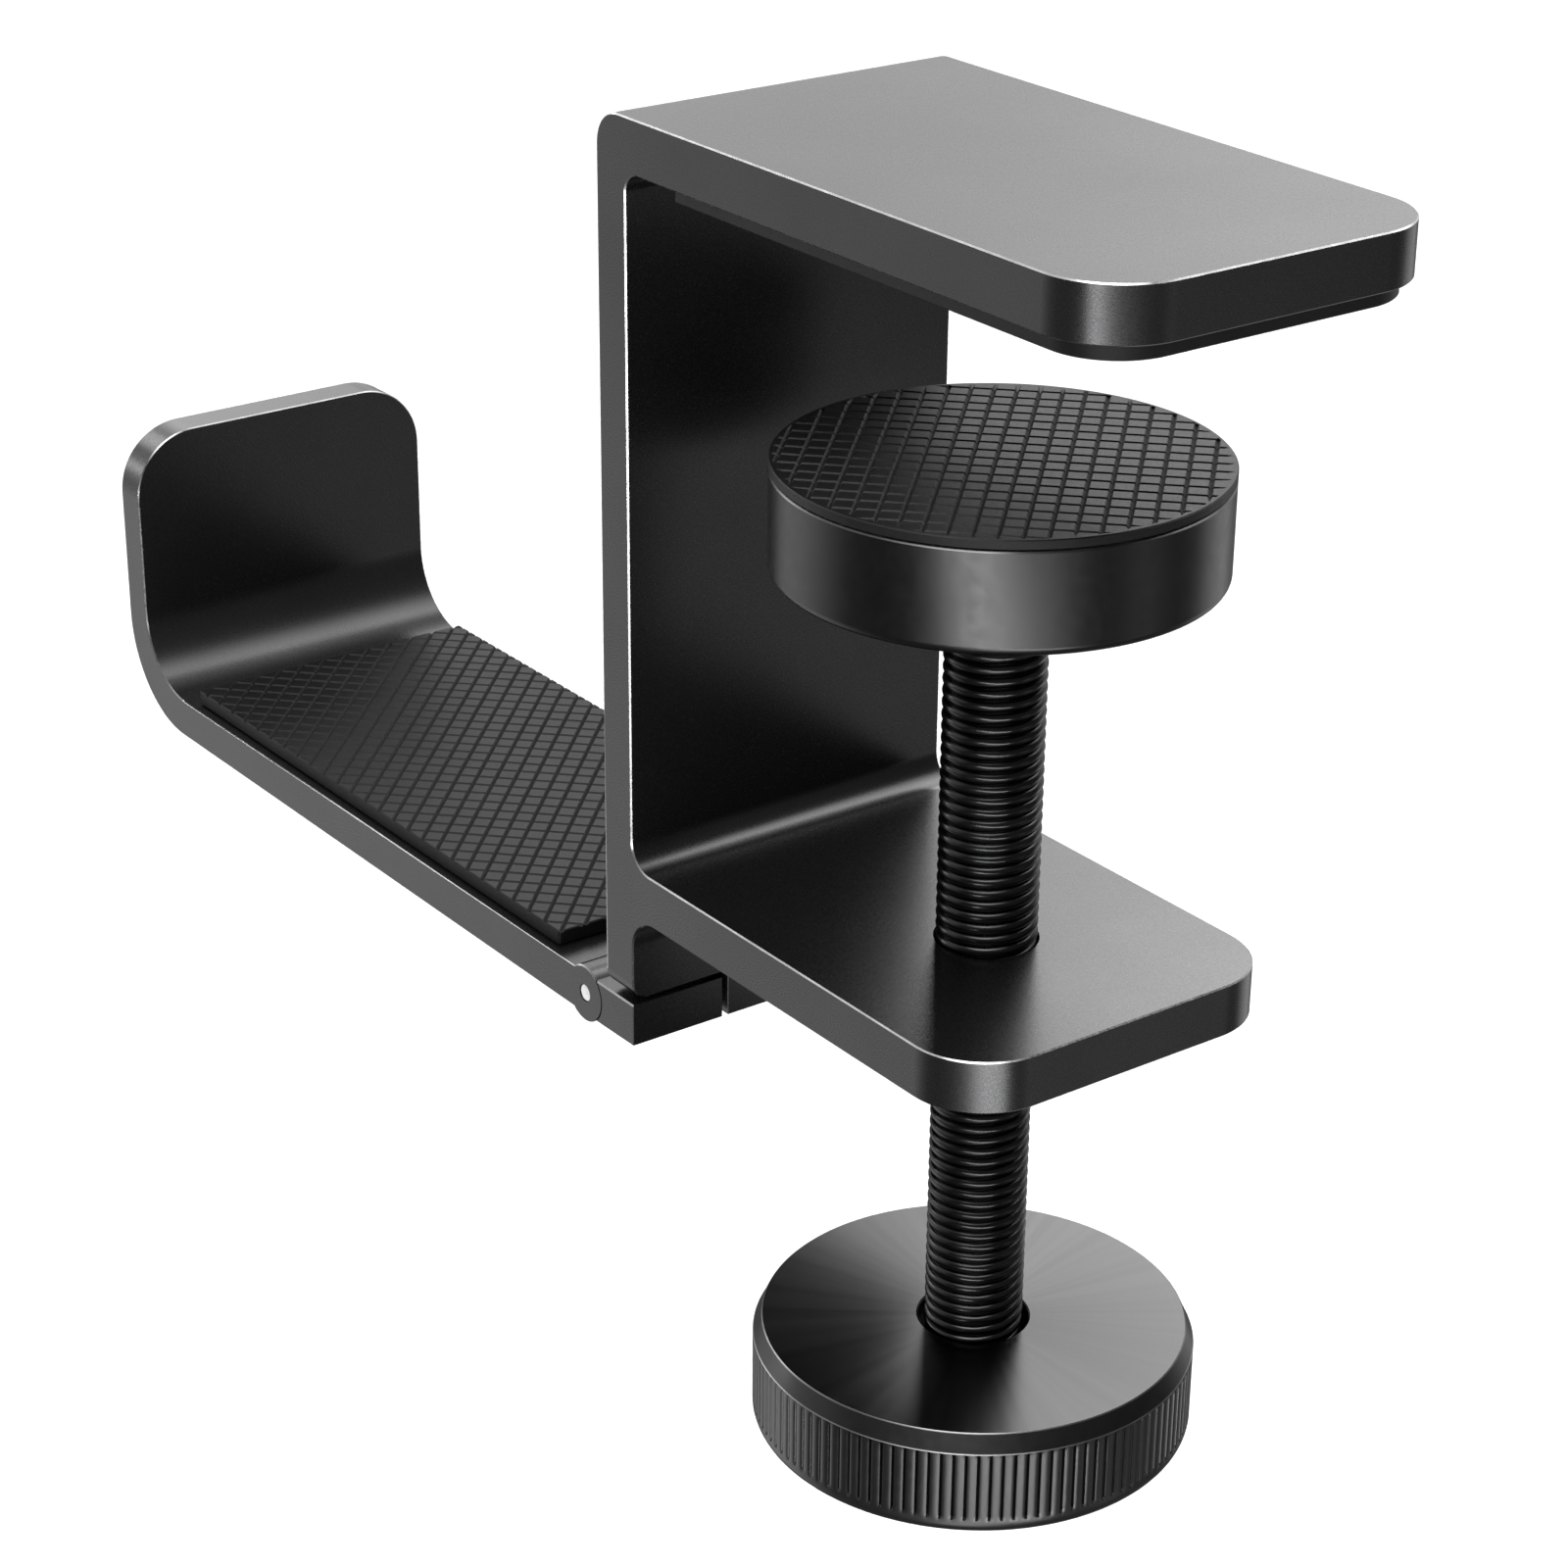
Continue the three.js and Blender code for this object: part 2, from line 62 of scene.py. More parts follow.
FRAME_LOW, FRAME_HIGH = box_mm("clamp_frame")
ARM_LOW, ARM_HIGH = box_mm("hook_arm")
JAW_PAD_LOW, JAW_PAD_HIGH = box_mm("top_jaw_pad")
ARM_PAD_LOW, ARM_PAD_HIGH = box_mm("arm_grip_pad")
DISC_LOW, DISC_HIGH = box_mm("pressure_disc")
DISC_PAD_LOW, DISC_PAD_HIGH = box_mm("disc_grip_pad")
SCREW_LOW, SCREW_HIGH = box_mm("clamp_screw")
KNOB_LOW, KNOB_HIGH = box_mm("knob")
SWIVEL_LOW, SWIVEL_HIGH = box_mm("swivel_screw")
BOLT_LOW, BOLT_HIGH = box_mm("knob_retaining_screw")
PIN_LOW, PIN_HIGH = box_mm("hinge_pin")

HINGE = next(joint for joint in frame["joints"] if joint["name"] == "hook_fold")
PIN_X = HINGE["pos_m"][0] / MM
PIN_Z = HINGE["pos_m"][2] / MM
PIN_RADIUS = (PIN_HIGH.z - PIN_LOW.z) / 2
BARREL = PIN_X - FRAME_LOW.x

HALF = FRAME_HIGH.y                       # half the extrusion's width
WEB_FRONT = ARM_HIGH.x                    # the heels end flush with the web's front face
WEB = 4.8
BACK = WEB_FRONT - WEB
TOP = FRAME_HIGH.z
TOP_ARM = 5.4
ARM_UNDERSIDE = TOP - TOP_ARM
TOP_TIP = FRAME_HIGH.x
LOWER_TIP = 22
LOWER_TOP = -71.3
LOWER_BOTTOM = -76.8
TAIL_BOTTOM = -86.9
TIP_RADIUS = 8
BACK_RADIUS = 3.5
TOP_FILLET = 2
LOWER_FILLET = 3
TAIL_FILLET = 4
TAIL_CORNER = 2

PLATE = 4.8
TONGUE_HALF = 7.8                         # half the clamp's centre knuckle
SLIT = 0.7
SLOT_END = PIN_X - BARREL - 0.5
LIP = 4.4
LIP_RADIUS = 8
BEND_INNER = 9
BEND_OUTER = 12.5

CHAMFER = 0.14                            # chamfer on the extrusions' edges, painted bright as a highlight
FINE_CHAMFER = 0.16                       # hinge heels, tail and the screw's end
CHAMFERED_ANGLE = math.radians(60)        # edges sharper than this are chamfered
SEAM = 0.2                                # arc pressed round each hinge knuckle
PIN_CLEARANCE = 0.06
PIN_DOME = 0.06                           # height of the pin's domed ends
HINGE_WASHER_CLEARANCE = 0.1
PAST = 4                                  # how far a cutting tool reaches past the stock
ARC_STEPS = 20
MERGE = 1e-4                              # vertices nearer than this become one
HAIR = 0.01                               # shorter than any feature

GROOVE_PITCH = 2.25                       # diagonal grooves of the rubber grip
GROOVE_WIDTH = 0.52
GROOVE_DEPTH = 0.3
RUBBER_EDGE = 0.12                        # softened rim of the rubber
JAW_BORDER = 0.8                          # plain rims round the grooves
DISC_BORDER = 0.25
JAW_PAD_HEEL = 1                          # corner radii
ARM_PAD_CORNER = 0.3

THREAD_PITCH = 1.25
THREAD_RADIUS = 5.1
THREAD_DEPTH = 0.75
THREAD_STEEPNESS = 0.94                   # at 1 the root's walls would be upright
THREAD_END = -118.2                       # where it ends, inside the knob's mouth
THREAD_TAPER = 0.7                        # length of the taper at each end
THREAD_CLEARANCE = 0.2
SPIGOT = 3.4                              # the screw's plain end, which the knob sits on
SPIGOT_FLAT = 2.5

SHOULDER = 3.6                            # radius that the disc's floor turns on
SHOULDER_FOOT = -30.3
SWIVEL_SHANK = 2.5
SWIVEL_HEAD_LOW = -25.4
DISC_FLOOR_LOW = -29.3
DISC_FLOOR_HIGH = -26.5
DISC_RECESS = 6.4                         # radius of the opening under the floor
DISC_WELL = 7                             # radius of the well over the floor
DISC_CLEARANCE = 0.15
DISC_ROUNDING = 1                         # under the cup's rim
SWIVEL_WASHER_CLEARANCE = 0.3

KNOB_FACE_RADIUS = 22
KNOB_SHOULDER = -117.3                    # where the bevel meets the rim
KNURLS = 116
KNURL_TOP = -117.45
KNURL_BASE = -125.0                       # the grooves are full down to here
KNURL_FADE = 0.25
KNURL_START = 0.3                         # share of the depth at the grooves' upper ends
KNURL_DEPTH = 0.3
KNURL_WIDTH = 0.34
KNURL_CROWN = 0.08                        # how far the ridges are rounded at their sides
KNOB_BASE_RADIUS = 21.8                   # the rounding under the rim starts here
KNOB_BASE_TOP = -125.6                    # and ends here
KNOB_MOUTH = 5.8                          # opening for the thread's end
KNOB_MOUTH_FLOOR = -118.5
KNOB_BORE = 3.55
COUNTERBORE = 7.5
COUNTERBORE_TOP = -122.6
BOLT_SHANK = 2
BOLT_HEAD = 2.2                           # height of its head
BOLT_WASHER_BORE = 2.3

HEX_RADIUS = 1.9                          # sockets in the hidden screws' heads
HEX_DEPTH = 1.5

# The studio, in metres and degrees.
FLOOR_HEIGHT = -0.6
BACKDROP_RADIUS = 8
CAMERA_PLACE = (0.25486, -0.21338, 0.09571)
CAMERA_AZIMUTH = 53.54
CAMERA_ELEVATION = 25.33
CAMERA_ROLL = 0.51
CAMERA_LENS = 85.87                       # in millimetres, on a sensor of this width
CAMERA_SENSOR = 36
CAMERA_SHIFT = 0.0375
LIGHTS_AIM = (0, 0, -0.05)

# The sky is dim, and pale on one side above the horizon.
DIM_SKY = 0.14
HORIZON = (-0.12, -0.01)                  # heights between which the pale side fades in

# Soft patches of light: azimuth and elevation of the axis, cosine of the half angle,
# power of the falloff and strength on the axis.
PALE_SIDE = (165, 0, 0, 0.5, 0.95)
SKY_PATCHES = (
    (131, 32.5, 0.9, 8.0, 8.6),           # behind and above, mirrored by the top faces
    (160, 25, 0.95, 2.0, 2.6),            # beside it
    (-50, 68, 0.87, 1.0, 8.0),            # high over the clamp's open side
    (-153, -28, 0.87, 1.0, 1.08),         # low, mirrored by the long flat sides
    (36, -26, 0.97, 1.0, 0.55),           # low, mirrored by the web's front
    (-40, -44, 0.965, 1.0, 3.0),          # low in front, mirrored by the round rims
)


# ---- Materials -----------------------------------------------------------------------


def shader(name, metallic, base, roughness):
    """A new material, its node tree and its Principled shader, with these uniform values."""
    material = bpy.data.materials.new(name)
    material.use_nodes = True
    principled = material.node_tree.nodes["Principled BSDF"]
    principled.inputs["Metallic"].default_value = metallic
    principled.inputs["Base Color"].default_value = (*base, 1)
    principled.inputs["Roughness"].default_value = roughness
    return material, material.node_tree, principled


def node(tree, kind, **settings):
    """Adds a node. Settings name its own properties, or its input sockets with spaces as _."""
    made = tree.nodes.new(kind)
    for key, value in settings.items():
        if hasattr(made, key):
            setattr(made, key, value)
        else:
            made.inputs[key.replace("_", " ")].default_value = value
    return made


def noise(tree, scale, detail=2.0, stretch=None):
    """Noise over the piece's own coordinates, in cells per metre along each axis."""
    place = node(tree, "ShaderNodeTexCoord").outputs["Object"]
    if stretch is not None:
        mapping = node(tree, "ShaderNodeMapping", Scale=stretch)
        tree.links.new(place, mapping.inputs["Vector"])
        place = mapping.outputs["Vector"]
    texture = node(tree, "ShaderNodeTexNoise", Scale=scale, Detail=detail)
    tree.links.new(place, texture.inputs["Vector"])
    return texture.outputs["Fac"]


def map_range(tree, value, source, target, **settings):
    """Maps a value from one range on to another, and holds it within the second."""
    ranged = node(
        tree, "ShaderNodeMapRange", From_Min=source[0], From_Max=source[1],
        To_Min=target[0], To_Max=target[1], **settings,
    )
    tree.links.new(value, ranged.inputs["Value"])
    return ranged.outputs["Result"]


def spread(tree, value, low, high):
    """Maps a noise value, which stays mostly within 0.3 to 0.7, on to low to high."""
    return map_range(tree, value, (0.3, 0.7), (low, high))


def tint(tree, principled, value, dark, light):
    """Varies the base colour between two colours."""
    factor, colour_a, colour_b, result = 0, 6, 7, 2       # the Mix node's colour sockets
    mix = node(tree, "ShaderNodeMix", data_type="RGBA")
    mix.inputs[colour_a].default_value = (*dark, 1)
    mix.inputs[colour_b].default_value = (*light, 1)
    tree.links.new(value, mix.inputs[factor])
    tree.links.new(mix.outputs[result], principled.inputs["Base Color"])


def bump(tree, principled, height, distance, strength=1.0):
    """Bumps the surface by a height map, with its depth in metres."""
    made = node(tree, "ShaderNodeBump", Distance=distance, Strength=strength)
    tree.links.new(height, made.inputs["Height"])
    tree.links.new(made.outputs["Normal"], principled.inputs["Normal"])


def grey(value):
    """A neutral grey, very slightly cool."""
    return (value, value, value * 1.02)


def anodised():
    """Bead-blasted, black anodised aluminium."""
    material, tree, principled = shader("anodised_black", 0.95, grey(0.062), 0.33)
    clouds = noise(tree, 55, 3)
    tint(tree, principled, spread(tree, clouds, 0, 1), grey(0.057), grey(0.067))
    grain = noise(tree, 6500, 2)
    tree.links.new(spread(tree, grain, 0.25, 0.32), principled.inputs["Roughness"])
    bump(tree, principled, grain, 0.00001, 0.45)
    return material


def highlight_edge_metal(name, level):
    """Lighter metal for the chamfers: a painted highlight for the bright lines along the edges."""
    material, tree, principled = shader(name, 1.0, grey(level), 0.26)
    uneven_highlight = noise(tree, 420, 3)
    tint(tree, principled, spread(tree, uneven_highlight, 0, 1), grey(level * 0.85), grey(level * 1.15))
    tree.links.new(spread(tree, noise(tree, 1500), 0.22, 0.34), principled.inputs["Roughness"])
    return material


def turned_metal(name, roughness, level=0.052, around=0.0):
    """Black anodised aluminium with fine turning marks round the Z axis.

    With around above 0 it is a faced surface, whose gloss runs along the marks and which
    shows faint rays from its centre.
    """
    material, tree, principled = shader(name, 1.0, grey(level), roughness)
    place = node(tree, "ShaderNodeTexCoord").outputs["Object"]
    parts = node(tree, "ShaderNodeSeparateXYZ")
    tree.links.new(place, parts.inputs[0])
    flat = node(tree, "ShaderNodeCombineXYZ")
    tree.links.new(parts.outputs["X"], flat.inputs["X"])
    tree.links.new(parts.outputs["Y"], flat.inputs["Y"])
    radius = node(tree, "ShaderNodeVectorMath", operation="LENGTH")
    tree.links.new(flat.outputs["Vector"], radius.inputs[0])
    along = node(tree, "ShaderNodeCombineXYZ")
    tree.links.new(radius.outputs["Value"], along.inputs["X"])
    tree.links.new(parts.outputs["Z"], along.inputs["Y"])
    marks = node(tree, "ShaderNodeTexNoise", Scale=9000.0, Detail=2.0)
    tree.links.new(along.outputs["Vector"], marks.inputs["Vector"])
    bump(tree, principled, marks.outputs["Fac"], 0.000005, 0.35)
    if around:
        outward = node(tree, "ShaderNodeVectorMath", operation="NORMALIZE")
        tree.links.new(flat.outputs["Vector"], outward.inputs[0])
        rays = node(tree, "ShaderNodeTexNoise", Scale=13.0, Detail=3.0)
        tree.links.new(outward.outputs["Vector"], rays.inputs["Vector"])
        shade = spread(tree, rays.outputs["Fac"], 0, 1)
        tint(tree, principled, shade, grey(level * 0.86), grey(level * 1.14))
        tree.links.new(
            spread(tree, rays.outputs["Fac"], roughness - 0.015, roughness + 0.02),
            principled.inputs["Roughness"],
        )
        tangent = node(tree, "ShaderNodeTangent", direction_type="RADIAL", axis="Z")
        tree.links.new(tangent.outputs["Tangent"], principled.inputs["Tangent"])
        principled.inputs["Anisotropic"].default_value = around
    else:
        clouds = noise(tree, 70, 3)
        tint(tree, principled, spread(tree, clouds, 0, 1), grey(level * 0.9), grey(level * 1.1))
        tree.links.new(
            spread(tree, noise(tree, 900), roughness - 0.02, roughness + 0.03),
            principled.inputs["Roughness"],
        )
    return material


def black_oxide():
    """Oiled black oxide on the rolled thread."""
    material, tree, principled = shader("black_oxide", 1.0, grey(0.045), 0.24)
    oil = noise(tree, 300, 3)
    tree.links.new(spread(tree, oil, 0.2, 0.3), principled.inputs["Roughness"])
    tint(tree, principled, spread(tree, noise(tree, 120, 2), 0, 1), grey(0.036), grey(0.052))
    bump(tree, principled, noise(tree, 6000, 1), 0.000006, 0.3)
    return material


def steel():
    """Ground and polished steel."""
    material, tree, principled = shader("ground_steel", 1.0, grey(0.78), 0.22)
    marks = noise(tree, 2600, 3)
    tint(tree, principled, spread(tree, noise(tree, 500, 3), 0, 1), grey(0.7), grey(0.85))
    tree.links.new(spread(tree, marks, 0.16, 0.28), principled.inputs["Roughness"])
    bump(tree, principled, marks, 0.000004, 0.4)
    return material


def rubber(name, level, specular):
    """Matt black rubber with a fine moulded grain."""
    material, tree, principled = shader(name, 0.0, grey(level), 0.5)
    principled.inputs["Specular IOR Level"].default_value = specular
    clouds = noise(tree, 160, 4)
    tint(tree, principled, spread(tree, clouds, 0, 1), grey(level * 0.75), grey(level * 1.25))
    grain = noise(tree, 7000, 2)
    tree.links.new(spread(tree, grain, 0.42, 0.56), principled.inputs["Roughness"])
    bump(tree, principled, grain, 0.00001, 0.5)
    return material


def nylon():
    """Natural nylon, cloudy and slightly translucent."""
    material, tree, principled = shader("natural_nylon", 0.0, (0.72, 0.7, 0.64), 0.45)
    clouds = spread(tree, noise(tree, 400, 3), 0, 1)
    tint(tree, principled, clouds, (0.66, 0.64, 0.57), (0.76, 0.74, 0.69))
    principled.inputs["Subsurface Weight"].default_value = 0.1
    principled.inputs["Subsurface Scale"].default_value = 0.0005
    bump(tree, principled, noise(tree, 3000, 2), 0.00001, 0.3)
    return material


def film():
    """Fibrous double-sided bonding film."""
    material, tree, principled = shader("bonding_film", 0.0, (0.3, 0.28, 0.25), 0.6)
    fibres = noise(tree, 900, 4, stretch=(1, 0.3, 1))
    tint(tree, principled, spread(tree, fibres, 0, 1), (0.25, 0.23, 0.2), (0.36, 0.34, 0.31))
    bump(tree, principled, fibres, 0.00002, 0.4)
    return material


def painted_highlight_rim(name, level):
    """Anodised metal in a lighter grey: a painted highlight for the thin bright lines on turned
    edges.
    """
    material, tree, principled = shader(name, 1.0, grey(level), 0.3)
    uneven_highlight = noise(tree, 300, 3)
    tint(tree, principled, spread(tree, uneven_highlight, 0, 1), grey(level * 0.8), grey(level * 1.2))
    return material


ANODISED = anodised()
# Lighter greys on the knob's edges and the disc's rim: painted highlights for their thin bright
# lines.
PAINTED_HIGHLIGHT_RIM = painted_highlight_rim("painted_highlight_rim", 0.23)
PAINTED_FAINT_HIGHLIGHT_RIM = painted_highlight_rim("painted_faint_highlight_rim", 0.1)
# Lighter metal on the frame's and the hook's chamfers: painted highlight for the bright lines along
# their edges, the soft one dimmer.
PAINTED_HIGHLIGHT_EDGE = highlight_edge_metal("painted_highlight_edge", 0.56)
PAINTED_SOFT_HIGHLIGHT_EDGE = highlight_edge_metal("painted_soft_highlight_edge", 0.36)
TURNED = turned_metal("turned_black", 0.3)
KNOB_FACE = turned_metal("turned_black_face", 0.25, around=0.55)
# The knurl's grey is lighter than the other turned metal: partly abrasion on the ridges, partly a
# painted highlight that lifts their reflections.
KNURLED = turned_metal("knurled_black", 0.31, level=0.08)
BLACK_OXIDE = black_oxide()
STEEL = steel()
RUBBER = rubber("grip_rubber", 0.006, 0.24)
# The arm's grip is a darker, less glossy copy of the same rubber: painted shade for the frame's
# shadow over it.
SHADED_ARM_RUBBER = rubber("arm_rubber_painted_shade", 0.005, 0.17)
NYLON = nylon()
FILM = film()


# ---- Mesh helpers --------------------------------------------------------------------


def steps_between(start, end, count):
    """Evenly spaced values from start to end, with both."""
    return [start + (end - start) * i / count for i in range(count + 1)]


def arc(a, b, radius, start, end, count=ARC_STEPS):
    """Points on an arc round (a, b), with angles in radians."""
    angles = steps_between(start, end, count)
    return [(a + radius * math.cos(t), b + radius * math.sin(t)) for t in angles]


def prism(outline, axis, low, high):
    """Extrudes an outline along one axis. The outline lies in the other two, in X, Y, Z order."""
    place = {
        "X": lambda a, b, c: (c, a, b),
        "Y": lambda a, b, c: (a, c, b),
        "Z": lambda a, b, c: (a, b, c),
    }[axis]
    bm = bmesh.new()
    ends = [[bm.verts.new(place(a, b, c)) for a, b in outline] for c in (low, high)]
    faces = [bm.faces.new(ends[0]), bm.faces.new(ends[1])]
    count = len(outline)
    for i in range(count):
        j = (i + 1) % count
        faces.append(bm.faces.new((ends[0][i], ends[0][j], ends[1][j], ends[1][i])))
    bmesh.ops.recalc_face_normals(bm, faces=faces)
    return bm


def turned(profile, steps=96, radius_at=None):
    """Turns a profile of (radius, z) round Z. radius_at(radius, z, angle) may shape the radius."""
    bm = bmesh.new()
    rings = []
    for radius, z in profile:
        if radius == 0:
            rings.append([bm.verts.new((0, 0, z))])
            continue
        ring = []
        for i in range(steps):
            angle = TURN * i / steps
            r = radius if radius_at is None else radius_at(radius, z, angle)
            ring.append(bm.verts.new((r * math.cos(angle), r * math.sin(angle), z)))
        rings.append(ring)
    for lower, upper in zip(rings, rings[1:]):
        for i in range(steps):
            j = (i + 1) % steps
            corners = (lower[i % len(lower)], lower[j % len(lower)],
                       upper[j % len(upper)], upper[i % len(upper)])
            bm.faces.new(list(dict.fromkeys(corners)))
    bmesh.ops.recalc_face_normals(bm, faces=bm.faces)
    return bm


def turned_ring(profile, steps, radius_at=None):
    """Turns a profile that ends where it starts, so that it closes on itself."""
    bm = turned(profile, steps, radius_at)
    bmesh.ops.remove_doubles(bm, verts=bm.verts, dist=MERGE)
    bmesh.ops.recalc_face_normals(bm, faces=bm.faces)
    return bm


def wedge(a, b, sign_a, sign_b, radius):
    """Outline of the tool that rounds the corner at (a, b) to a radius."""
    centre_a, centre_b = a - sign_a * radius, b - sign_b * radius
    rounding = [
        (centre_a + sign_a * radius * math.sin(t), centre_b + sign_b * radius * math.cos(t))
        for t in steps_between(0, TURN / 4, ARC_STEPS)
    ]
    return [(a + sign_a * PAST, b + sign_b * PAST), (centre_a, b + sign_b * PAST), *rounding,
            (a + sign_a * PAST, centre_b)]


def circle(a, b, radius, count=64):
    """Points on a full circle, anticlockwise."""
    return arc(a, b, radius, 0, TURN * (1 - 1 / count), count - 1)


def mesh_from(bm, name):
    """Turns a bmesh into a mesh, and frees it."""
    mesh = bpy.data.meshes.new(name)
    bm.to_mesh(mesh)
    bm.free()
    return mesh


def placed(name, data):
    """A new object in the scene, for a mesh, a light or a camera."""
    made = bpy.data.objects.new(name, data)
    bpy.context.scene.collection.objects.link(made)
    return made


def cut(bm, tool):
    """Cuts one bmesh with another, and gives back a new bmesh."""
    stock, cutter = (placed("tool", mesh_from(part, "tool")) for part in (bm, tool))
    modifier = stock.modifiers.new("cut", "BOOLEAN")
    modifier.object = cutter
    modifier.operation = "DIFFERENCE"
    modifier.solver = "EXACT"
    evaluated = stock.evaluated_get(bpy.context.evaluated_depsgraph_get())
    result = bmesh.new()
    result.from_mesh(evaluated.to_mesh())
    evaluated.to_mesh_clear()
    for made in (stock, cutter):
        mesh = made.data
        bpy.data.objects.remove(made)
        bpy.data.meshes.remove(mesh)
    bmesh.ops.remove_doubles(result, verts=result.verts, dist=MERGE)
    bmesh.ops.dissolve_degenerate(result, edges=result.edges, dist=MERGE)
    return result


def chamfered(bm, width, wanted=None, material=1):
    """Chamfers the sharp convex edges that wanted(middle) accepts, in one of its materials."""
    bm.normal_update()
    edges = [
        edge for edge in bm.edges
        if len(edge.link_faces) == 2
        and edge.calc_face_angle_signed(0) > CHAMFERED_ANGLE
        and (wanted is None or wanted((edge.verts[0].co + edge.verts[1].co) / 2))
    ]
    bmesh.ops.bevel(
        bm, geom=edges, offset=width, offset_type="OFFSET", segments=1, profile=0.5,
        affect="EDGES", clamp_overlap=False, material=material,
    )
    return bm


def joined(*parts):
    """Puts several bmeshes into one, each keeping its own shell."""
    whole = bmesh.new()
    for part in parts:
        mesh = mesh_from(part, "part")
        whole.from_mesh(mesh)
        bpy.data.meshes.remove(mesh)
    return whole


def piece(name, bm, body, nodes, materials, smooth=30, even=True):
    """Makes a finished piece in metres that rides on a body and stands for CAD nodes.

    Edges flatter than smooth, in degrees, are shaded smooth. With even, large faces stay
    flat beside their chamfers.
    """
    bmesh.ops.scale(bm, vec=(MM, MM, MM), verts=bm.verts)
    mesh = mesh_from(bm, name)
    for material in materials:
        mesh.materials.append(material)
    mesh.shade_smooth()
    mesh.set_sharp_from_angle(angle=math.radians(smooth))
    made = placed(name, mesh)
    if even:
        modifier = made.modifiers.new("even_normals", "WEIGHTED_NORMAL")
        modifier.keep_sharp = True
        modifier.weight = 90
    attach(made, body)
    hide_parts(*nodes)


# ---- Clamp frame ---------------------------------------------------------------------

PIN_HOLE = circle(PIN_X, PIN_Z, PIN_RADIUS + PIN_CLEARANCE)


def frame_outline():
    """Side view of the C, from the tail round the two arms to the rounded back corner."""
    tail, lower, top = TAIL_FILLET, LOWER_FILLET, TOP_FILLET
    return [
        (BACK, TAIL_BOTTOM),
        (WEB_FRONT, TAIL_BOTTOM),
        *arc(WEB_FRONT + tail, LOWER_BOTTOM - tail, tail, TURN / 2, TURN / 4),
        (LOWER_TIP, LOWER_BOTTOM),
        (LOWER_TIP, LOWER_TOP),
        *arc(WEB_FRONT + lower, LOWER_TOP + lower, lower, -TURN / 4, -TURN / 2),
        *arc(WEB_FRONT + top, ARM_UNDERSIDE - top, top, TURN / 2, TURN / 4),
        (TOP_TIP, ARM_UNDERSIDE),
        (TOP_TIP, TOP),
        *arc(BACK + BACK_RADIUS, TOP - BACK_RADIUS, BACK_RADIUS, TURN / 4, TURN / 2),
    ]


def knuckle_outline():
    """The clamp's centre knuckle, with the block that carries it under the web."""
    low, high = PIN_Z - PLATE / 2, PIN_Z + PLATE / 2
    meet = math.asin(PLATE / 2 / BARREL)
    return [
        (WEB_FRONT, low),
        (WEB_FRONT, TAIL_BOTTOM + CHAMFER),
        (BACK, TAIL_BOTTOM + CHAMFER),
        (BACK, high),
        *arc(PIN_X, PIN_Z, BARREL, meet, TURN - meet, 3 * ARC_STEPS),
    ]


def make_clamp_frame():
    """The C and its centre knuckle. The tail's and the knuckle's chamfers get no painted highlight.
    """
    body = prism(frame_outline(), "Y", -HALF, HALF)
    for side in (-1, 1):
        top = wedge(TOP_TIP, side * HALF, 1, side, TIP_RADIUS)
        lower = wedge(LOWER_TIP, side * HALF, 1, side, TIP_RADIUS)
        tail = wedge(side * HALF, TAIL_BOTTOM, side, -1, TAIL_CORNER)
        body = cut(body, prism(top, "Z", ARM_UNDERSIDE - PAST, TOP + PAST))
        body = cut(body, prism(lower, "Z", LOWER_BOTTOM - PAST, LOWER_TOP + PAST))
        body = cut(body, prism(tail, "X", BACK - PAST, WEB_FRONT + PAST))
    tail_top = LOWER_BOTTOM - 1
    # The chamfers above the tail take the painted highlight metal, those on the tail keep the
    # anodised black.
    body = chamfered(body, CHAMFER, lambda middle: middle.z > tail_top)
    body = chamfered(body, FINE_CHAMFER, lambda middle: middle.z < tail_top, material=0)
    knuckle = prism(knuckle_outline(), "Y", -TONGUE_HALF, TONGUE_HALF)
    knuckle = chamfered(knuckle, FINE_CHAMFER / 2, material=0)
    screw_hole = circle(0, 0, THREAD_RADIUS + THREAD_CLEARANCE)
    body = cut(body, prism(screw_hole, "Z", LOWER_BOTTOM - PAST, LOWER_TOP + PAST))
    knuckle = cut(knuckle, prism(PIN_HOLE, "Y", -HALF, HALF))
    piece(
        "frame_metal", joined(body, knuckle), "frame",
        ["clamp_frame"], [ANODISED, PAINTED_HIGHLIGHT_EDGE],
    )


# ---- Hook arm ------------------------------------------------------------------------


def arm_outline():
    """Side view of the arm: the knuckle's rounds, the heel, the plate and the turned-up lip."""
    low, high = PIN_Z - PLATE / 2, PIN_Z + PLATE / 2
    inner, outer = ARM_LOW.x + LIP, ARM_LOW.x
    meet = math.asin(PLATE / 2 / BARREL)
    return [
        *arc(PIN_X, PIN_Z, BARREL, TURN / 2 + meet, TURN - meet, 2 * ARC_STEPS),
        (WEB_FRONT, low),
        (WEB_FRONT, high),
        *arc(PIN_X, PIN_Z, BARREL, meet, TURN / 2 - meet, 2 * ARC_STEPS),
        *arc(inner + BEND_INNER, high + BEND_INNER, BEND_INNER, -TURN / 4, -TURN / 2),
        (inner, ARM_HIGH.z),
        (outer, ARM_HIGH.z),
        *arc(outer + BEND_OUTER, low + BEND_OUTER, BEND_OUTER, TURN / 2, TURN * 3 / 4),
    ]


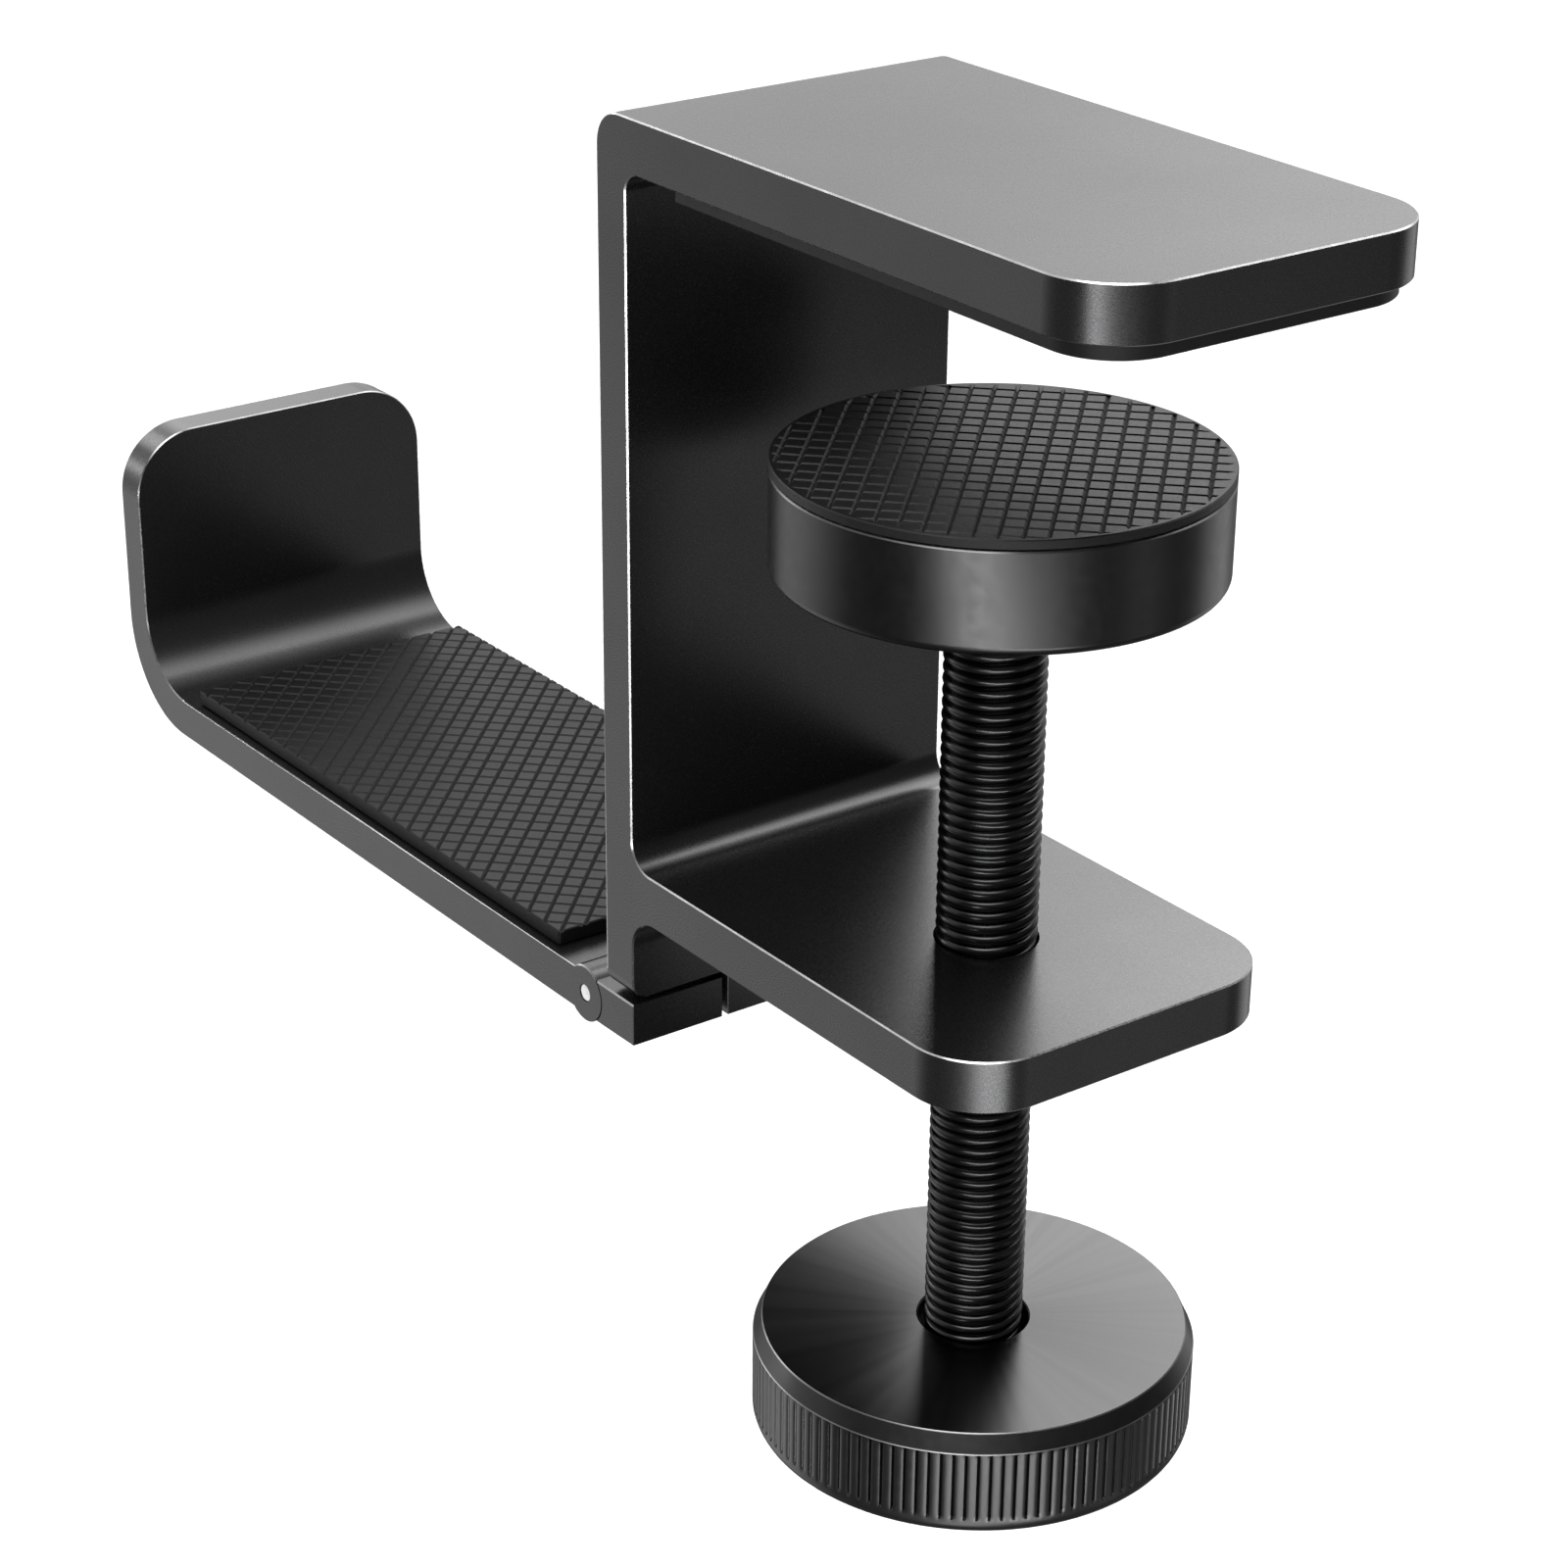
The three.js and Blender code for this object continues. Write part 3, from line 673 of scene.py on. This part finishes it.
def make_hook_arm():
    """The arm, with the slot for the clamp's knuckle and the seams round its own."""
    slot, slot_mouth = TONGUE_HALF + SLIT, WEB_FRONT + PAST
    sides = [(SLOT_END, -slot), (slot_mouth, -slot), (slot_mouth, slot), (SLOT_END, slot)]
    body = prism(arm_outline(), "Y", -HALF, HALF)
    body = cut(body, prism(sides, "Z", PIN_Z - PAST, PIN_Z + PAST))
    for side in (-1, 1):
        corner = wedge(side * HALF, ARM_HIGH.z, side, 1, LIP_RADIUS)
        body = cut(body, prism(corner, "X", ARM_LOW.x - PAST, ARM_LOW.x + LIP + PAST))
    plate_end = PIN_X - BARREL

    def on_outer_top(middle):             # the heels' upper edges along the extrusion's sides
        return middle.z > PIN_Z + 1 and abs(middle.y) > HALF - 1

    body = chamfered(body, CHAMFER, lambda middle: middle.x < plate_end)
    body = chamfered(
        body, FINE_CHAMFER, lambda middle: middle.x > plate_end and on_outer_top(middle),
    )
    body = chamfered(
        body, FINE_CHAMFER / 2,
        lambda middle: middle.x > PIN_X + BARREL and not on_outer_top(middle), material=0,
    )
    seam = math.asin(PLATE / 2 / BARREL)
    sector = [
        *arc(PIN_X, PIN_Z, BARREL + SEAM / 2, -seam, seam),
        *arc(PIN_X, PIN_Z, BARREL - SEAM / 2, seam, -seam),
    ]
    for side in (-1, 1):
        ends = sorted((side * (HALF - SEAM), side * (HALF + 1)))
        body = cut(body, prism(sector, "Y", *ends))
    body = cut(body, prism(PIN_HOLE, "Y", -HALF - 1, HALF + 1))
    bend_end = ARM_LOW.x + LIP + BEND_INNER
    # Chamfers along the plate take the stronger painted highlight, the lip's and the heels' the
    # softer one.
    for face in body.faces:
        middle = face.calc_center_median()
        on_plate = bend_end < middle.x < plate_end and middle.z > PIN_Z
        if face.material_index == 1 and on_plate:
            face.material_index = 2
    piece(
        "hook_metal", body, "hook",
        ["hook_arm"], [ANODISED, PAINTED_SOFT_HIGHLIGHT_EDGE, PAINTED_HIGHLIGHT_EDGE],
    )


# ---- Rubber grips --------------------------------------------------------------------


def rounded_rectangle(low, high, tip, heel):
    """Outline with corner radius tip on its +X side and heel on its -X side."""
    return [
        *arc(high.x - tip, low.y + tip, tip, -TURN / 4, 0),
        *arc(high.x - tip, high.y - tip, tip, 0, TURN / 4),
        *arc(low.x + heel, high.y - heel, heel, TURN / 4, TURN / 2),
        *arc(low.x + heel, low.y + heel, heel, TURN / 2, TURN * 3 / 4),
    ]


def inset(outline, distance):
    """Moves each point of an anticlockwise outline inwards."""
    count = len(outline)
    moved = []
    for i, (x, y) in enumerate(outline):
        before, after = outline[i - 1], outline[(i + 1) % count]
        along = Vector((after[0] - before[0], after[1] - before[1])).normalized()
        moved.append((x - along.y * distance, y + along.x * distance))
    return moved


def groove_depth(x, y, phases):
    """Depth of the crossed V grooves at a point, from 0 on the lands to 1 along a valley."""
    deepest = 0
    for sign, phase in zip((1, -1), phases):
        across = (x - sign * y) / math.sqrt(2) / GROOVE_PITCH - phase
        away = abs(across - round(across)) * GROOVE_PITCH
        deepest = max(deepest, 1 - away / (GROOVE_WIDTH / 2))
    return deepest


def boundary(bm):
    """The open rim of a face mesh as an ordered loop of vertices."""
    follow = {}
    for edge in (edge for edge in bm.edges if len(edge.link_faces) == 1):
        loop = edge.link_loops[0]
        follow[loop.vert] = loop.link_loop_next.vert
    start = next(iter(follow))
    loop = [start]
    while follow[loop[-1]] is not start:
        loop.append(follow[loop[-1]])
    return loop


def grown(bm, loop, distance, height):
    """Adds a ring of faces round an anticlockwise loop, a distance out, at height(old z)."""
    flat = inset([(vert.co.x, vert.co.y) for vert in loop], -distance)
    outer = [bm.verts.new((x, y, height(vert.co.z))) for (x, y), vert in zip(flat, loop)]
    count = len(loop)
    for i in range(count):
        j = (i + 1) % count
        bm.faces.new((loop[i], outer[i], outer[j], loop[j]))
    return outer


def grip(outline, thickness, phases, border=0):
    """Rubber sheet lying on z = 0, with crossed V grooves on top and a softened rim.

    The grooves run out through the rim, or end at a plain border.
    """
    bm = bmesh.new()
    bm.faces.new([bm.verts.new((x, y, 0)) for x, y in inset(outline, RUBBER_EDGE + border)])
    reach = max(math.hypot(x, y) for x, y in outline)
    count = math.ceil(reach / GROOVE_PITCH) + 1
    for sign, phase in zip((1, -1), phases):
        normal = Vector((1, -sign, 0)).normalized()
        for k in range(-count, count + 1):
            for side in (-1, 0, 1):
                offset = (k + phase) * GROOVE_PITCH + side * GROOVE_WIDTH / 2
                bmesh.ops.bisect_plane(
                    bm, geom=[*bm.verts, *bm.edges, *bm.faces], dist=MERGE,
                    plane_co=normal * offset, plane_no=normal,
                )
    for vert in bm.verts:
        depth = GROOVE_DEPTH * groove_depth(vert.co.x, vert.co.y, phases)
        vert.co.z = thickness - (0 if border and vert.is_boundary else depth)
    bmesh.ops.triangulate(bm, faces=bm.faces, quad_method="LONG_EDGE")
    bmesh.ops.recalc_face_normals(bm, faces=bm.faces)
    if next(iter(bm.faces)).normal.z < 0:
        bmesh.ops.reverse_faces(bm, faces=bm.faces)
    loop = boundary(bm)
    if border:
        loop = grown(bm, loop, border, lambda z: z)
    loop = grown(bm, loop, RUBBER_EDGE, lambda z: min(z, thickness - RUBBER_EDGE))
    loop = grown(bm, loop, 0, lambda z: 0)
    bm.faces.new(loop)
    bmesh.ops.recalc_face_normals(bm, faces=bm.faces)
    return bm


def make_grip(
    name, outline, low, high, body, cad, phases, border=0, down=False, material=RUBBER,
):
    """Lays a grip between two heights, face up or face down."""
    bm = grip(outline, high - low, phases, border)
    if down:
        bmesh.ops.scale(bm, vec=(1, 1, -1), verts=bm.verts)
        bmesh.ops.reverse_faces(bm, faces=bm.faces)
    bmesh.ops.translate(bm, vec=(0, 0, high if down else low), verts=bm.verts)
    piece(name, bm, body, [cad], [material], smooth=20, even=False)


def make_grips():
    """The three grips, whose grooves start at their own shares of the pitch."""
    tip = TIP_RADIUS - (HALF - JAW_PAD_HIGH.y)
    jaw = rounded_rectangle(JAW_PAD_LOW, JAW_PAD_HIGH, tip, JAW_PAD_HEEL)
    make_grip(
        "jaw_rubber", jaw, JAW_PAD_LOW.z, JAW_PAD_HIGH.z, "frame", "top_jaw_pad",
        phases=(0, 0), border=JAW_BORDER, down=True,
    )
    make_grip(
        "disc_rubber", circle(0, 0, DISC_PAD_HIGH.x, 128), DISC_PAD_LOW.z, DISC_PAD_HIGH.z,
        "disc", "disc_grip_pad", phases=(0.22, 0.74), border=DISC_BORDER,
    )
    arm = rounded_rectangle(ARM_PAD_LOW, ARM_PAD_HIGH, ARM_PAD_CORNER, ARM_PAD_CORNER)
    make_grip(
        "arm_rubber", arm, ARM_PAD_LOW.z, ARM_PAD_HIGH.z, "hook", "arm_grip_pad",
        phases=(0.52, 0.74), material=SHADED_ARM_RUBBER,
    )


# ---- Clamp screw ---------------------------------------------------------------------


def thread_radius(share):
    """Radius at a share of the pitch: a broad rounded crest with a narrow root between."""
    away = 2 * min(share, 1 - share)
    return THREAD_RADIUS - THREAD_DEPTH * (1 - math.sqrt(1 - (THREAD_STEEPNESS * away) ** 2))


def threaded_rod(low, high, columns=72, rows=12):
    """A rod with a right-hand helical thread, with tapered ends closed by flat faces.

    The helix starts below the rod and ends above it. What lies past an end is drawn in to
    the axis on the end's own plane.
    """
    bm = bmesh.new()
    spare_turns = 4
    slope = 0.8                           # of the taper at each end
    turns = math.ceil((high - low) / THREAD_PITCH) + 2 * spare_turns
    start = low - spare_turns * THREAD_PITCH
    total = turns * columns
    verts = []
    for column in range(total + columns + 1):
        angle = TURN * column / columns
        for row in range(rows):
            share = row / rows
            z = start + THREAD_PITCH * (column / columns + share)
            past = max(low - z, z - high, 0)
            inside = min(z - low, high - z)
            radius = thread_radius(share) - max(THREAD_TAPER - inside, 0) * slope
            radius = max(radius - past * THREAD_RADIUS / THREAD_PITCH, 0)
            z = min(max(z, low), high)
            verts.append(bm.verts.new((radius * math.cos(angle), radius * math.sin(angle), z)))
    for column in range(total):
        for row in range(rows):
            after = (column, row + 1) if row + 1 < rows else (column + columns, 0)
            corners = [(column, row), (column + 1, row), (after[0] + 1, after[1]), after]
            bm.faces.new([verts[c * rows + r] for c, r in corners])
    bmesh.ops.remove_doubles(bm, verts=bm.verts, dist=MERGE)
    bmesh.ops.delete(bm, geom=[vert for vert in bm.verts if not vert.link_faces], context="VERTS")
    bmesh.ops.recalc_face_normals(bm, faces=bm.faces)
    return bm


def make_clamp_screw():
    """The threaded rod and its spigot, which has one flat that turns the knob with it."""
    rod = threaded_rod(THREAD_END, SCREW_HIGH.z)
    angle = math.acos(SPIGOT_FLAT / SPIGOT)
    outline = arc(0, 0, SPIGOT, angle, TURN - angle, 3 * ARC_STEPS)
    end = prism(outline, "Z", SCREW_LOW.z, THREAD_END + 1)
    end = chamfered(end, FINE_CHAMFER, material=0)
    piece(
        "screw_thread", joined(rod, end), "screw",
        ["clamp_screw"], [BLACK_OXIDE], smooth=50, even=False,
    )


# ---- Pressure disc and its swivel ----------------------------------------------------


def socket_screw(low, head_low, head_high, shank, head, socket_up, shoulder=None):
    """A socket head screw, turned, with a hexagon socket cut into its head."""
    edge = 0.35
    stem = [(0, low), (shank - edge, low), (shank, low + edge)]
    if shoulder is not None:
        stem += [(shank, shoulder), (SHOULDER, shoulder)]
    neck = stem[-1][0]
    up = [*stem, (neck, head_low), (head - edge / 2, head_low), (head, head_low + edge / 2),
          (head, head_high - edge), (head - edge, head_high), (0, head_high)]
    body = turned(up)
    hexagon = circle(0, 0, HEX_RADIUS, 6)
    body = cut(body, prism(hexagon, "Z", head_high - HEX_DEPTH, head_high + PAST))
    if not socket_up:
        bmesh.ops.rotate(body, verts=body.verts, matrix=Matrix.Rotation(TURN / 2, 3, "X"))
    return body


def ring(inner, outer, low, high, edge=0.1):
    """A washer with broken edges."""
    return turned_ring([
        (inner, low + edge), (inner + edge, low), (outer - edge, low), (outer, low + edge),
        (outer, high - edge), (outer - edge, high), (inner + edge, high), (inner, high - edge),
        (inner, low + edge),
    ], 64)


def make_pressure_disc():
    """A turned cup, with a recess for the screw's end below and a well for the head above."""
    radius = DISC_HIGH.x
    low, high = DISC_LOW.z, DISC_HIGH.z
    floor, floor_top = DISC_FLOOR_LOW, DISC_FLOOR_HIGH
    recess, well, bore = DISC_RECESS, DISC_WELL, SHOULDER + DISC_CLEARANCE
    edge, rim, mouth, under = 0.2, 0.15, 0.3, DISC_ROUNDING
    bm = turned_ring([
        (bore, floor), (recess - edge, floor), (recess, floor - edge), (recess, low + mouth),
        (recess + mouth, low), *arc(radius - under, low + under, under, -TURN / 4, 0, 8),
        (radius, high - rim), (radius - rim, high), (well + edge, high), (well, high - edge),
        (well, floor_top), (bore, floor_top), (bore, floor),
    ], 160)
    # The rim's chamfer takes a faint painted highlight.
    for face in bm.faces:
        middle = face.calc_center_median()
        reach = math.hypot(middle.x, middle.y)
        if middle.z > high - rim and reach > radius - rim:
            face.material_index = 1
    piece(
        "disc_cup", bm, "disc", ["pressure_disc"], [TURNED, PAINTED_FAINT_HIGHLIGHT_RIM],
    )


def make_swivel():
    """The shoulder screw that holds the disc on the clamp screw, and the two washers."""
    bm = socket_screw(
        SWIVEL_LOW.z, SWIVEL_HEAD_LOW, SWIVEL_HIGH.z, SWIVEL_SHANK, SWIVEL_HIGH.x,
        socket_up=True, shoulder=SHOULDER_FOOT,
    )
    piece("swivel_bolt", bm, "screw", ["swivel_screw"], [STEEL])
    for name, cad, body in (
        ("thrust_ring", "swivel_thrust_washer", "swivel_carrier"),
        ("head_ring", "swivel_head_washer", "screw"),
    ):
        low, high = box_mm(cad)
        bm = ring(SHOULDER + SWIVEL_WASHER_CLEARANCE, high.x, low.z, high.z)
        piece(name, bm, body, [cad], [NYLON])


# ---- Knob ----------------------------------------------------------------------------


def knurled(radius, z, angle):
    """Radius of the knob's rim, with narrow V grooves between slightly rounded ridges.

    The grooves start below the shoulder and run out at the rounding of the base.
    """
    if z > KNURL_TOP + HAIR or z < KNURL_BASE - KNURL_FADE:
        return radius
    from_top = (KNURL_TOP - z) / KNURL_FADE + KNURL_START
    from_base = (z - KNURL_BASE) / KNURL_FADE + 1
    share = min(1, from_top, from_base)
    across = angle / TURN * KNURLS
    away = abs(across - round(across)) * TURN * KNOB_HIGH.x / KNURLS
    groove = max(0, 1 - away / (KNURL_WIDTH / 2))
    ridge = TURN * KNOB_HIGH.x / KNURLS / 2
    crown = KNURL_CROWN * (1 - away / ridge) ** 2
    return min(radius, KNOB_HIGH.x - share * (KNURL_DEPTH * groove + crown))


def make_knob():
    """The knob: a faced top with the thread's mouth, a knurled rim and a counterbore below."""
    radius, face = KNOB_HIGH.x, KNOB_FACE_RADIUS
    low, high, shoulder = KNOB_LOW.z, KNOB_HIGH.z, KNOB_SHOULDER
    base, base_edge = KNOB_BASE_RADIUS, KNOB_BASE_TOP
    edge, mouth_edge, shoulder_edge, counterbore_edge = 0.12, 0.15, 0.1, 0.3
    rounding = [
        (base + (radius - base) * math.sin(t), low + (base_edge - low) * (1 - math.cos(t)))
        for t in steps_between(0, TURN / 4, 14)
    ]
    knurl_rows = [(radius, z) for z in steps_between(KNURL_BASE, KNURL_TOP, 24)]
    bm = turned_ring([
        (KNOB_BORE, COUNTERBORE_TOP), (COUNTERBORE, COUNTERBORE_TOP),
        (COUNTERBORE, low + counterbore_edge), (COUNTERBORE + counterbore_edge, low),
        *rounding, (radius, KNURL_BASE - KNURL_FADE), *knurl_rows,
        (radius, shoulder - shoulder_edge), (radius - shoulder_edge, shoulder),
        (face + edge, high - edge), (face, high), (KNOB_MOUTH + mouth_edge, high),
        (KNOB_MOUTH, high - mouth_edge), (KNOB_MOUTH, KNOB_MOUTH_FLOOR),
        (KNOB_BORE, KNOB_MOUTH_FLOOR), (KNOB_BORE, COUNTERBORE_TOP),
    ], KNURLS * 8, knurled)
    materials = [TURNED, PAINTED_HIGHLIGHT_RIM, KNOB_FACE, KNURLED]
    for item in bm.faces:
        middle = item.calc_center_median()
        reach = math.hypot(middle.x, middle.y)
        on_shoulder = shoulder - shoulder_edge < middle.z < shoulder
        if middle.z > high - HAIR and KNOB_MOUTH < reach < face:
            item.material_index = materials.index(KNOB_FACE)
        # The rim's top edge and the shoulder take the painted highlight material.
        elif reach > face and (middle.z > high - edge or on_shoulder):
            item.material_index = materials.index(PAINTED_HIGHLIGHT_RIM)
        # The knurl takes its lighter grey, partly a painted highlight.
        elif reach > face and middle.z < KNURL_TOP:
            item.material_index = materials.index(KNURLED)
    piece("knob_body", bm, "screw", ["knob"], materials, smooth=28)


def make_knob_fixing():
    """The screw that holds the knob on the spigot, with its head down, and its washer."""
    length = BOLT_HIGH.z - BOLT_LOW.z
    bm = socket_screw(0, length - BOLT_HEAD, length, BOLT_SHANK, BOLT_HIGH.x, socket_up=False)
    bmesh.ops.translate(bm, vec=(0, 0, BOLT_HIGH.z), verts=bm.verts)
    piece("knob_bolt", bm, "screw", ["knob_retaining_screw"], [STEEL])
    low, high = box_mm("knob_washer")
    bm = ring(BOLT_WASHER_BORE, high.x, low.z, high.z)
    piece("knob_ring", bm, "screw", ["knob_washer"], [STEEL])


# ---- Hinge ---------------------------------------------------------------------------


def along_hinge(bm):
    """Turns a piece made round Z to lie along the hinge pin."""
    bmesh.ops.rotate(bm, verts=bm.verts, matrix=Matrix.Rotation(TURN / 4, 3, "X"))
    bmesh.ops.translate(bm, vec=(PIN_X, 0, PIN_Z), verts=bm.verts)
    return bm


def make_hinge():
    """The pin, domed a little at its ends, and the thin washers in the slits."""
    end, dome = PIN_HIGH.y, PIN_DOME
    cap = [(PIN_RADIUS * math.cos(t), dome * math.sin(t)) for t in steps_between(0, TURN / 4, 8)]
    profile = [(0, -end)]
    profile += [(r, -end + dome - h) for r, h in reversed(cap[:-1])]
    profile += [(r, end - dome + h) for r, h in cap[:-1]]
    profile += [(0, end)]
    pin = along_hinge(turned(profile, 48))
    piece("pin_steel", pin, "hook", ["hinge_pin"], [STEEL])
    for name, cad in (("left_ring", "hinge_washer_left"), ("right_ring", "hinge_washer_right")):
        low, high = box_mm(cad)
        bore, outer = PIN_RADIUS + HINGE_WASHER_CLEARANCE, (high.z - low.z) / 2
        bm = along_hinge(ring(bore, outer, -high.y, -low.y, edge=0.05))
        piece(name, bm, "hook", [cad], [NYLON])


# ---- Bonding films -------------------------------------------------------------------


def finish_films():
    """The films are hidden between their neighbours, so the CAD solids keep their shape."""
    for name in ("top_jaw_adhesive", "disc_adhesive", "arm_adhesive"):
        mesh = frame["nodes"][name].data
        mesh.materials.clear()
        mesh.materials.append(FILM)


# ---- Studio --------------------------------------------------------------------------


def make_camera():
    """A long lens above the clamp's open side, turned 54 degrees from the side view."""
    azimuth, elevation, roll = (
        math.radians(angle) for angle in (CAMERA_AZIMUTH, CAMERA_ELEVATION, CAMERA_ROLL)
    )
    ahead = Vector((
        -math.sin(azimuth) * math.cos(elevation),
        math.cos(azimuth) * math.cos(elevation),
        -math.sin(elevation),
    ))
    level = Vector((math.cos(azimuth), math.sin(azimuth), 0))
    above = level.cross(ahead)
    right = math.cos(roll) * level + math.sin(roll) * above
    up = math.cos(roll) * above - math.sin(roll) * level
    data = bpy.data.cameras.new("camera")
    data.sensor_width = CAMERA_SENSOR
    data.lens = CAMERA_LENS
    data.shift_y = CAMERA_SHIFT
    data.clip_start = 0.01
    data.clip_end = 20
    camera = placed("camera", data)
    turn = Matrix((right, up, -ahead)).transposed().to_4x4()
    camera.matrix_world = Matrix.Translation(CAMERA_PLACE) @ turn
    bpy.context.scene.camera = camera


def staged(name, mesh, material):
    """Adds a mesh that is part of the studio, in metres. It leaves no reflection."""
    mesh.materials.append(material)
    made = placed(name, mesh)
    made.visible_glossy = False
    return made


def make_floor():
    """A pale floor below the hook, which hangs clear of it as it does from a desk."""
    bm = bmesh.new()
    corners = circle(0, 0, BACKDROP_RADIUS + 0.5)
    bm.faces.new([bm.verts.new((x, y, FLOOR_HEIGHT)) for x, y in corners])
    material, tree, principled = shader("pale_floor", 0.0, (0.86, 0.86, 0.86), 0.9)
    tint(tree, principled, spread(tree, noise(tree, 3, 2), 0, 1), grey(0.85), grey(0.87))
    staged("floor", mesh_from(bm, "floor"), material)


def make_backdrop():
    """A white dome standing on the floor. Only the camera sees it: it neither lights nor shades."""
    profile = arc(0, FLOOR_HEIGHT, BACKDROP_RADIUS, 0, TURN / 4, 24)
    bm = turned([*profile[:-1], (0, FLOOR_HEIGHT + BACKDROP_RADIUS)], 64)
    mesh = mesh_from(bm, "backdrop")
    mesh.shade_smooth()
    material, _, principled = shader("white_backdrop", 0.0, (0, 0, 0), 1.0)
    principled.inputs["Emission Color"].default_value = (1, 1, 1, 1)
    principled.inputs["Emission Strength"].default_value = 1.0
    principled.inputs["Specular IOR Level"].default_value = 0.0
    backdrop = staged("backdrop", mesh, material)
    backdrop.visible_diffuse = False
    backdrop.visible_transmission = False
    backdrop.visible_shadow = False


def direction(azimuth, elevation):
    """Unit vector. Azimuth is anticlockwise from +X, and both are in degrees."""
    a, e = math.radians(azimuth), math.radians(elevation)
    return Vector((math.cos(a) * math.cos(e), math.sin(a) * math.cos(e), math.sin(e)))


def math_node(tree, operation, first, second):
    """A Math node with a socket for its first input, and a socket or a number for its second."""
    made = node(tree, "ShaderNodeMath", operation=operation)
    tree.links.new(first, made.inputs[0])
    if isinstance(second, (int, float)):
        made.inputs[1].default_value = second
    else:
        tree.links.new(second, made.inputs[1])
    return made.outputs["Value"]


def lobe(tree, place, azimuth, elevation, edge, power, strength):
    """A soft patch of sky: 0 where the cosine to its axis is edge, strength on the axis."""
    dot = node(tree, "ShaderNodeVectorMath", operation="DOT_PRODUCT")
    tree.links.new(place, dot.inputs[0])
    dot.inputs[1].default_value = direction(azimuth, elevation)
    ramp = map_range(tree, dot.outputs["Value"], (edge, 1), (0, 1))
    return math_node(tree, "MULTIPLY", math_node(tree, "POWER", ramp, power), strength)


def make_world():
    """A soft studio: pale behind the clamp, dim in front of it, with soft patches of light."""
    world = bpy.data.worlds.new("studio")
    bpy.context.scene.world = world
    world.use_nodes = True
    tree = world.node_tree
    background = tree.nodes["Background"]
    place = node(tree, "ShaderNodeTexCoord").outputs["Generated"]
    parts = node(tree, "ShaderNodeSeparateXYZ")
    tree.links.new(place, parts.inputs[0])
    above = map_range(
        tree, parts.outputs["Z"], HORIZON, (0, 1), interpolation_type="SMOOTHSTEP",
    )
    pale = math_node(tree, "MULTIPLY", lobe(tree, place, *PALE_SIDE), above)
    total = math_node(tree, "ADD", pale, DIM_SKY)
    for patch in SKY_PATCHES:
        total = math_node(tree, "ADD", total, lobe(tree, place, *patch))
    tree.links.new(total, background.inputs["Strength"])
    background.inputs["Color"].default_value = (1, 1, 1, 1)


def soft_box(name, azimuth, elevation, distance, size, radiance, roll=0, beam=180):
    """An area light aimed at the clamp. Its direction, roll and beam angle are in degrees.

    A narrow beam gathers the same power, so the power is cut by the beam's gain on its axis.
    """
    data = bpy.data.lights.new(name, "AREA")
    data.shape = "RECTANGLE"
    data.size, data.size_y = size
    half_beam = math.radians(beam) / 2
    gain = math.tan(half_beam) / (math.tan(half_beam) - half_beam)
    data.energy = radiance * 4 * size[0] * size[1] / gain
    data.spread = 2 * half_beam
    light = placed(name, data)
    away = direction(azimuth, elevation)
    light.location = Vector(LIGHTS_AIM) + away * distance
    light.rotation_mode = "QUATERNION"
    aimed = away.to_track_quat("Z", "Y")
    light.rotation_quaternion = aimed @ Quaternion((0, 0, 1), math.radians(roll))
    light.visible_camera = False


def make_lights():
    """Soft boxes: one in front and low, one to the right, one overhead, two to the left."""
    soft_box("front_strip", -39, -24, distance=0.7, size=(0.92, 0.1), radiance=8.6, roll=-24)
    soft_box("right_fill", 92, -20, distance=1.0, size=(0.5, 0.5), radiance=0.65)
    soft_box("top_box", 98, 52, distance=0.27, size=(0.24, 0.22), radiance=4.8, beam=74)
    soft_box("left_strip", -155, 6, distance=0.63, size=(0.3, 0.05), radiance=4.8)
    soft_box("left_top", -171, 26, distance=1.05, size=(0.3, 0.14), radiance=5.0)


make_clamp_frame()
make_hook_arm()
make_grips()
make_clamp_screw()
make_pressure_disc()
make_swivel()
make_knob()
make_knob_fixing()
make_hinge()
finish_films()
make_floor()
make_backdrop()
make_world()
make_lights()
make_camera()
bpy.context.scene.view_settings.view_transform = "Standard"
